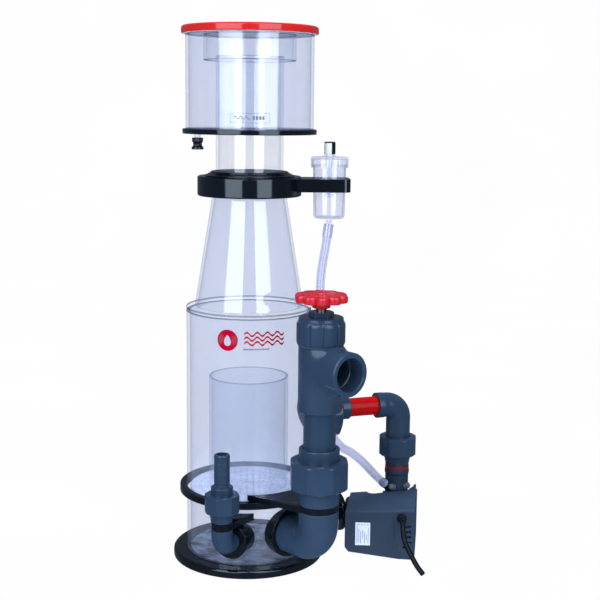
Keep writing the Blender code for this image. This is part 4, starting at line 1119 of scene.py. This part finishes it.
def build_pump():
    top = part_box("pump_cover")[1].z / MM
    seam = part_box("pump_housing")[1].z / MM
    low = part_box("pump_housing")[0].z / MM
    rim = top - 0.5
    outline = [(LEFT, rim), (LEFT, 17.6), (LEFT + 4.5, 11.6), (LEFT + 66, low + 1.2),
               (RIGHT - 1.5, low), (RIGHT, low + 1.8), (RIGHT, rim)]
    upright = Vector((LEAN, 1, 0)).normalized()
    axes = (Vector((1, 0, 0)), Vector((0, 1, 0)), UP)
    cutters = [box_mesh(f"slot_{i}", on_front(RIGHT - 9.0 + 0.6 * i, 43.0 - 6.6 * i),
                        (3.4, 3.0, 1.25), axes, 0.8) for i in range(4)]
    cutters.append(lathe_mesh("screw", [(0, 4), (1.5, 4), (1.5, -4), (0, -4)],
                              on_front(RIGHT - 13.5, 17.0), FRONT, 32, None, 0))
    cutters.append(box_mesh("fold", on_front(RIGHT - 26.5, 44.0), (0.35, 0.45, 14.0),
                            (Vector((1, 0, 0.09)).normalized(), Vector((0, 1, 0)),
                             Vector((-0.09, 0, 1)).normalized())))
    housing = carve(leaning_block("pump_housing_look", outline, -15.3, 2.2), cutters)
    housing.name = "pump_housing_look"
    new_piece("pump_housing_look", housing, [PUMP_PLASTIC], "pump_housing")
    build_cover(seam + 0.3, top, upright)
    build_wet_end()
    build_rotor()


def build_cover(low, top, upright):
    """The cover plate: scalloped at the rear by the wet end, with a fin at its rear corner."""
    rear = -15.6
    start = [Vector((x, FRONT_Y + 1.1, 0)) for x in (LEFT + 1.2, RIGHT - 1.2)]
    lean = Vector((LEAN, 1, 0))
    ends = [start[0] + lean * 71.0,
            start[1] + lean * ((rear - (start[1] - RISER).dot(BACK)) / lean.dot(BACK))]
    edge = (ends[1] - ends[0]).normalized()
    inward = Vector((edge.y, -edge.x, 0))
    outline = [start[0], start[1], ends[1]]
    for centre, half, depth in ((61.0, 17.5, 6.5), (32.0, 10.5, 10.0)):
        spot = ends[0] + edge * centre
        outline += [spot + edge * half * math.cos(a) + inward * depth * math.sin(a) ** 0.8
                    for a in (math.pi * i / 20 for i in range(21))]
    outline.append(ends[0])
    # The cover and its fin take the lighter copy of the pump plastic: painted light on the top.
    mesh = polygon_slab("pump_cover_look", [(p.x, p.y) for p in outline], [], low, top,
                        bevel=1.1, segments=4)
    new_piece("pump_cover_look", mesh, [COVER_PAINTED_LIGHT], "pump_cover")
    corner = ends[1] - edge * 0.4 - upright * 1.4
    fin = [corner - edge * 10.5 + UP * (top - 0.6), corner + UP * (top - 0.6),
           corner + UP * (top + 5.6), corner - edge * 1.6 + UP * (top + 6.6),
           corner - edge * 4.2 + UP * (top + 3.0), corner - edge * 7.6 + UP * (top + 1.2)]
    mesh = prism("pump_cover_fin", [p + inward for p in fin], [p - inward for p in fin])
    piece = new_piece("pump_cover_fin", mesh, [COVER_PAINTED_LIGHT], body="frame", weighted=False)
    ease = piece.modifiers.new("ease", "BEVEL")
    ease.width = 0.5 * MM
    ease.segments = 3
    for i, aim in enumerate((Vector((0.70, -0.62, 0.33)), Vector((-0.46, -0.86, 0.30)))):
        aim.normalize()
        mesh = lathe_mesh(f"neck_plug_{i}", [(0, 20.5), (3.2, 20.2), (4.0, 19.0), (4.0, 16.6),
                                             (4.8, 16.2), (4.8, 10.0), (0, 10.0)],
                          RISER + UP * 62.0, aim, 48, None, 0.6)
        new_piece(f"neck_plug_{i}", mesh, [CLIP_PLASTIC], body="frame")


def build_wet_end():
    """The wet end behind the housing, with the upright neck and the ports bored in it."""
    low, high = 3.0, 52.0
    u0, u1, v0, v1 = -66.0, 20.0, -14.0, 15.5
    neck_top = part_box("pump_volute")[1].z / MM
    centre = RISER + ALONG * (u0 + u1) / 2 + BACK * (v0 + v1) / 2 + UP * (low + high) / 2
    half = np.array([(u1 - u0) / 2, (v1 - v0) / 2, (high - low) / 2])
    axes = np.array([tuple(ALONG), tuple(BACK), tuple(UP)])
    port = UP * DISCHARGE_Z
    rotor = np.array(ROTOR)

    def solid(p):
        local = (p - np.array(centre)) @ axes.T
        q = np.abs(local) - half + 5.0
        block = np.linalg.norm(np.maximum(q, 0), axis=1) + np.minimum(q.max(1), 0) - 5.0
        neck = rod_field(p, RISER + UP * 30, RISER + UP * neck_top, 14.8, 0.8)
        collar = rod_field(p, RISER + UP * 82.5, RISER + UP * (neck_top - 0.2), 15.6, 0.6)
        body = join_fields(join_fields(block, neck, 6.0), collar, 1.0)
        for a, b, bore in ((RISER + UP * 33, RISER + UP * 120, 11.0),
                           (rotor - np.array(BACK) * 30, rotor + np.array(BACK) * 9, 17.0),
                           (port + ALONG * 100, port + ALONG * 196, 8.5),
                           (port + ALONG * 90, port + ALONG * 143.4, 11.4)):
            body = cut_fields(body, rod_field(p, a, b, bore, 0.2), 0.8)
        return body

    box = [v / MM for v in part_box("pump_volute")]
    mesh = field_mesh("pump_volute_look", solid, box[0] - Vector((2, 2, 2)),
                      box[1] + Vector((2, 2, 2)), 1.1)
    new_piece("pump_volute_look", mesh, [PUMP_PLASTIC], "pump_volute", weighted=False)
    mesh = lathe_mesh("discharge_pipe_look",
                      hollow([(11.0, 143.0), (11.0, 123.0), (23.0, 123.0), (24.0, 122.0),
                              (24.0, 118.0), (23.0, 117.0), (11.0, 117.0), (11.0, 84.0),
                              (20.0, 84.0), (20.0, 76.0), (20.0, 60.0)],
                             [(8.5, 143.0), (8.5, 117.0), (8.5, 76.0), (8.5, 60.0)]),
                      port, ALONG, 128, None, 0.5)
    seat_on_body(mesh, port, ALONG)
    new_piece("discharge_pipe_look", mesh, [BLACK_ACRYLIC], "discharge_pipe")


def build_rotor():
    """The turned pieces inside the pump, each with the bore named here, and the impeller."""
    for node, bore in (("rotor_magnet", 2.6), ("rotor_shaft", None), ("shaft_bush", 2.4),
                       ("stator_coil", 13.5)):
        low, high, radius = reach(node, ROTOR, BACK)
        profile = [(0, high), (radius, high), (radius, low), (0, low)]
        if bore:
            profile = tube(radius, bore, low, high)
        lathe(node, profile, ROTOR, BACK, 96)
    keep_cad("impeller", BLACK_PLASTIC)


def keep_cad(node, finish):
    """A hidden piece whose CAD mesh is kept, with a finish and eased edges."""
    obj = frame["nodes"][node]
    obj.data.materials.clear()
    obj.data.materials.append(finish)
    ease = obj.modifiers.new("ease", "BEVEL")
    ease.width = 0.3 * MM
    ease.segments = 2
    ease.angle_limit = 0.6


# ---- hose and cord ----------------------------------------------------------------------
HOSE_R, HOSE_BORE = 5.3, 3.9
NIPPLE_AIM = Vector((-0.62, -0.42, 0.66)).normalized()
NIPPLE_BASE = RISER + Vector((-12.8, -8.7, 66.0))


def hose_line():
    """The hose's resting line, from the silencer's spout down behind the valve to the pump."""
    start = SILENCER + UP * 408.0
    end = NIPPLE_BASE + NIPPLE_AIM * 6.6
    rests = [(-3.1, -3, 385), (-9.1, -8, 345), (-9.6, -16, 300), (-6.6, -28, 240),
             (-3.6, -33, 190), (4.4, -30, 160), (17.4, -21, 140), (31.4, -7, 128),
             (46.4, 10, 112)]
    knots = [start + UP * 20, start] + [SILENCER + Vector(rest) for rest in rests]
    knots += [end + NIPPLE_AIM * 20, end + NIPPLE_AIM * 8, end, end - NIPPLE_AIM * 8]
    return smooth_line(knots, 14)


def build_hose():
    line = hose_line()
    mesh = sweep_mesh("air_hose_look", line, HOSE_R, HOSE_BORE, 40, 0.5)
    new_piece("air_hose_look", mesh, [HOSE], "air_hose")
    top = [line[0].lerp(line[14], t / 6) for t in range(7)]
    sleeve = sweep_mesh("hose_cuff_top", [top[0] + (top[6] - top[0]) * t / 12 for t in range(9)],
                        HOSE_R + 0.7, HOSE_R + 0.05, 40, 0.4)
    new_piece("hose_cuff_top", sleeve, [MOULDED], body="frame")
    lower = line[-11:]
    sleeve = sweep_mesh("hose_cuff_low", lower, HOSE_R + 0.35, HOSE_R + 0.05, 40, 0.3)
    new_piece("hose_cuff_low", sleeve, [HOSE_END], body="frame")
    rows = [(2.2, 13.0), (3.1, 11.4), (2.5, 10.9), (3.2, 8.6), (2.6, 8.2), (3.2, 6.0),
            (5.2, 5.8), (5.2, 3.6), (4.2, 3.2), (4.2, 0.0), (5.2, -0.4), (5.2, -3.0)]
    lathe("air_nipple", hollow(rows, [(1.5, 13.0), (1.5, -3.0)]), NIPPLE_BASE, NIPPLE_AIM, 64,
          round_by=0.3)


def build_cord():
    start = Vector((186.0, FRONT_Y, 54.0))
    drops = [(0, -8, 0), (0, -13, -4), (0, -18, -12), (2, -25, -22), (7, -34, -32),
             (13.5, -44, -43), (20, -52, -50.4)]
    knots = [start + Vector((0, 9, 0)), start + Vector((0, 3.5, 0))]
    knots += [start + Vector(drop) for drop in drops]
    knots.append(knots[-1] * 2 - knots[-2])
    line = smooth_line(knots, 10)
    mesh = sweep_mesh("power_cord_look", line, 3.1, None, 40, 0.4)
    new_piece("power_cord_look", mesh, [RUBBER], "power_cord")
    rows = [(0, 0.4), (5.8, 0.4), (5.8, 2.0)]
    for i in range(4):
        along = 2.4 * i
        rows += [(4.2, 2.4 + along), (5.2 - 0.4 * i, 3.0 + along), (5.1 - 0.4 * i, 4.2 + along),
                 (4.0, 4.6 + along)]
    mesh = lathe_mesh("strain_relief", rows + [(3.3, 12.4), (0, 12.4)], start, FRONT, 64, None,
                      0.2)
    new_piece("strain_relief", mesh, [RUBBER], body="frame")


# ---- printed marks ----------------------------------------------------------------------
def strips_mesh(name, strips, place):
    """Bands between pairs of lines, each pair of (u, v) lists, set in space by place(u, v)."""
    points, faces = [], []
    for upper, lower in strips:
        first = len(points)
        points += [tuple(place(u, v)) for u, v in list(upper) + list(lower)]
        count = len(upper)
        faces += [(first + i, first + i + 1, first + count + i + 1, first + count + i)
                  for i in range(count - 1)]
    return mesh_of(name, points, faces, True, 3.0)


def around(radius, azimuth, z, lift=0.06):
    """Wraps (u, v) onto an upright cylinder, with u growing to the viewer's right."""
    def place(u, v):
        a = math.radians(azimuth) + u / radius
        return Vector(((radius + lift) * math.cos(a), (radius + lift) * math.sin(a), z + v))
    return place


def bar(u0, u1, v0, v1, parts=10):
    line = [u0 + (u1 - u0) * i / parts for i in range(parts + 1)]
    return [(u, v1) for u in line], [(u, v0) for u in line]


def wave_band(u0, u1, v, height, thick, waves, parts=80):
    line = [u0 + (u1 - u0) * i / parts for i in range(parts + 1)]
    crest = [v + height * math.sin(TURN * waves * (u - u0) / (u1 - u0)) for u in line]
    return ([(u, c + thick / 2) for u, c in zip(line, crest)],
            [(u, c - thick / 2) for u, c in zip(line, crest)])


def build_marks():
    """Generic marks: a drop in a disc and three waves on the body, a plate on the cup."""
    disc_z, disc_r = 280.7, 12.4
    drop = []
    for i in range(41):
        a = math.pi * i / 40
        wide = 5.2 * math.sin(a) * (0.5 + 0.5 * math.sin(a / 2)) ** 1.6
        drop.append((wide, 6.2 * math.cos(a) - 0.4))
    loop = drop + [(-u, v) for u, v in reversed(drop[1:-1])] + [drop[0]]
    rim = [(disc_r * u / math.hypot(u, v), disc_r * v / math.hypot(u, v)) for u, v in loop]
    emblem = strips_mesh("body_emblem", [(rim, loop)], around(BODY_R, -109.2, disc_z))
    new_piece("body_emblem", emblem, [RED_INK], body="frame", weighted=False)
    waves = [wave_band(-24.0, 24.0, v, 2.1, 2.3, 4) for v in (5.4, 0.0, -5.4)]
    mesh = strips_mesh("body_waves", waves, around(BODY_R, -75.8, 282.9))
    new_piece("body_waves", mesh, [RED_INK], body="frame", weighted=False)
    ticks = [bar(-22 + 3.1 * i, -20 + 3.1 * i, -0.9, 0.9, 3) for i in range(10)]
    mesh = strips_mesh("body_rule", ticks, around(BODY_R, -78.0, 270.6))
    new_piece("body_rule", mesh, [LABEL_INK], body="frame", weighted=False)
    build_cup_mark()
    build_pump_label()


def build_cup_mark():
    radius = reach("cup_tube")[2]
    place = around(radius, -89.8, 532.8)
    half_u, half_v, line = 22.5, 5.4, 0.35
    frame_strips = [bar(-half_u, half_u, half_v - line, half_v, 24),
                    bar(-half_u, half_u, -half_v, -half_v + line, 24),
                    bar(-half_u, -half_u + line, -half_v, half_v, 1),
                    bar(half_u - line, half_u, -half_v, half_v, 1)]
    ink = [wave_band(-18.0, 0.0, 0.2, 1.5, 1.2, 3, 48)]
    ink += [bar(3.0 + 3.6 * i, 5.4 + 3.6 * i, -2.0, 2.2, 3) for i in range(4)]
    mesh = strips_mesh("cup_mark", frame_strips + ink, place)
    new_piece("cup_mark", mesh, [LABEL_INK], body="cup", weighted=False)


def build_pump_label():
    low, high = Vector((RIGHT - 73.0, 0, 20.4)), Vector((RIGHT - 55.0, 0, 49.2))

    def place(lift):
        return lambda u, v: Vector((u, FRONT_Y - lift, v - 0.04 * (u - low.x)))

    mesh = strips_mesh("pump_label", [bar(low.x, high.x, low.z, high.z, 6)], place(0.12))
    new_piece("pump_label", mesh, [LABEL_PAPER], body="frame", weighted=False)
    width = high.x - low.x
    ink = [bar(low.x + width * a, low.x + width * b, high.z - 3.4, high.z - 2.4, 3)
           for a, b in ((0.12, 0.3), (0.38, 0.5), (0.58, 0.66), (0.76, 0.88))]
    for i, (start, end) in enumerate(((0.08, 0.84), (0.10, 0.72), (0.08, 0.62), (0.30, 0.66),
                                      (0.08, 0.58), (0.22, 0.48), (0.08, 0.80))):
        u = low.x + width * (0.12 + 0.125 * i)
        span = high.z - low.z
        ink.append(bar(u - 0.42, u + 0.42, low.z + span * start, low.z + span * end, 1))
    mesh = strips_mesh("pump_label_lines", ink, place(0.20))
    new_piece("pump_label_lines", mesh, [LABEL_GREY], body="frame", weighted=False)


# ---- stage, light and camera ------------------------------------------------------------
def build_stage():
    """A pale floor that curves up into a wall all round."""
    made, tree = empty_material("studio_white")
    cloud = noise(tree, 3.0, 2.0)
    tone = ramp(tree, cloud, [(0.3, (0.985, 0.985, 0.99)), (0.7, (1.0, 1.0, 1.0))])
    glow = put(tree, "ShaderNodeEmission", {"Color": tone, "Strength": 1.0})
    put(tree, "ShaderNodeOutputMaterial", {"Surface": glow.outputs["Emission"]})
    wall = [(0, -1.0), (2300, -1.0)]
    wall += [(2300 + 700 * math.sin(a), 699 - 700 * math.cos(a))
             for a in (math.pi / 2 * i / 12 for i in range(1, 13))]
    wall += [(3000, 4200)]
    angles = np.arange(96) * TURN / 96
    points = [(r * math.cos(a), r * math.sin(a), z) for r, z in wall[1:] for a in angles]
    faces = [tuple(range(96))]
    for i in range(len(wall) - 2):
        faces += [(i * 96 + j, i * 96 + (j + 1) % 96, (i + 1) * 96 + (j + 1) % 96,
                   (i + 1) * 96 + j) for j in range(96)]
    mesh = mesh_of("studio", points, faces)
    studio = add_object("studio", mesh)
    mesh.materials.append(made)
    studio.visible_diffuse = False
    studio.visible_glossy = False
    studio.visible_shadow = False
    studio.visible_volume_scatter = False


def soft_light(name, azimuth, height, size, power, distance=1.25, aim_z=0.3):
    """A softbox on a circle about the object; azimuth is from the viewer, + to the right."""
    data = bpy.data.lights.new(name, "AREA")
    data.shape = "RECTANGLE"
    data.size, data.size_y = size
    data.energy = power
    data.color = (0.88, 0.945, 1.0)
    light = add_object(name, data)
    angle = math.radians(azimuth - 90)
    light.location = (distance * math.cos(angle), distance * math.sin(angle), height)
    away = light.location - Vector((0, 0, aim_z))
    light.rotation_euler = away.to_track_quat("Z", "Y").to_euler()
    light.visible_camera = False
    return light


def build_light():
    """Two tall softboxes with dim ones under them, lights behind and above, and an even air."""
    tall, low, foot = 1.9, 0.7, 0.06
    for name, azimuth, wide, bright in (("box_left", -34.5, 1.10, 3.9),
                                        ("box_right", 32.5, 0.93, 3.75)):
        soft_light(name, azimuth, foot + tall / 2, (wide, tall), bright * math.pi * wide * tall)
        soft_light(name + "_low", azimuth, foot - low / 2, (wide, low),
                   0.08 * math.pi * wide * low)
    soft_light("overhead", 180, 1.9, (1.6, 1.2), 60, 0.5).visible_glossy = False
    for name, azimuth in (("rear_left", -140), ("rear_right", 140)):
        soft_light(name, azimuth, 0.6, (0.7, 1.6), 7, 1.5).visible_glossy = False
    soft_light("floor_bounce", 0, -0.6, (1.8, 1.2), 22, 0.7, 0.2).visible_glossy = False
    world = bpy.data.worlds.new("studio_air")
    bpy.context.scene.world = world
    world.use_nodes = True
    tree = world.node_tree
    tree.nodes.clear()
    path = put(tree, "ShaderNodeLightPath")
    fill = put(tree, "ShaderNodeBackground", {"Color": (0.93, 0.96, 1.0, 1), "Strength": 0.55})
    mirror = put(tree, "ShaderNodeBackground", {"Color": (0.72, 0.82, 1.0, 1), "Strength": 0.16})
    white = put(tree, "ShaderNodeBackground", {"Color": (1, 1, 1, 1), "Strength": 1.0})
    lit = put(tree, "ShaderNodeMixShader", {0: path.outputs["Is Glossy Ray"],
                                            1: fill.outputs["Background"],
                                            2: mirror.outputs["Background"]})
    seen = put(tree, "ShaderNodeMixShader", {0: path.outputs["Is Camera Ray"],
                                             1: lit.outputs["Shader"],
                                             2: white.outputs["Background"]})
    put(tree, "ShaderNodeOutputWorld", {"Surface": seen.outputs["Shader"]})


def build_camera():
    """Looks slightly down and to the right, from in front of the object."""
    down, aside, roll = (math.radians(v) for v in (9.236, 2.496, 0.624))
    forward = Vector((math.sin(aside) * math.cos(down), math.cos(aside) * math.cos(down),
                      -math.sin(down)))
    across = Vector((math.cos(aside), -math.sin(aside), 0))
    above = across.cross(forward)
    x_axis = across * math.cos(roll) + above * math.sin(roll)
    y_axis = above * math.cos(roll) - across * math.sin(roll)
    data = bpy.data.cameras.new("camera")
    data.sensor_width = 36
    data.lens = 71.02
    data.clip_end = 20
    camera = add_object("camera", data)
    turn = Matrix((x_axis, y_axis, -forward)).transposed().to_4x4()
    camera.matrix_world = Matrix.Translation((0, -1.40496, 0.54495)) @ turn
    bpy.context.scene.camera = camera
    scene = bpy.context.scene
    scene.view_settings.view_transform = "Standard"
    scene.cycles.transparent_max_bounces = 48
    scene.cycles.max_bounces = 12
    scene.cycles.glossy_bounces = 5


build_body()
build_cup()
build_silencer()
build_outlet()
build_inlet()
build_return()
build_pump()
build_hose()
build_cord()
build_marks()
build_stage()
build_light()
build_camera()
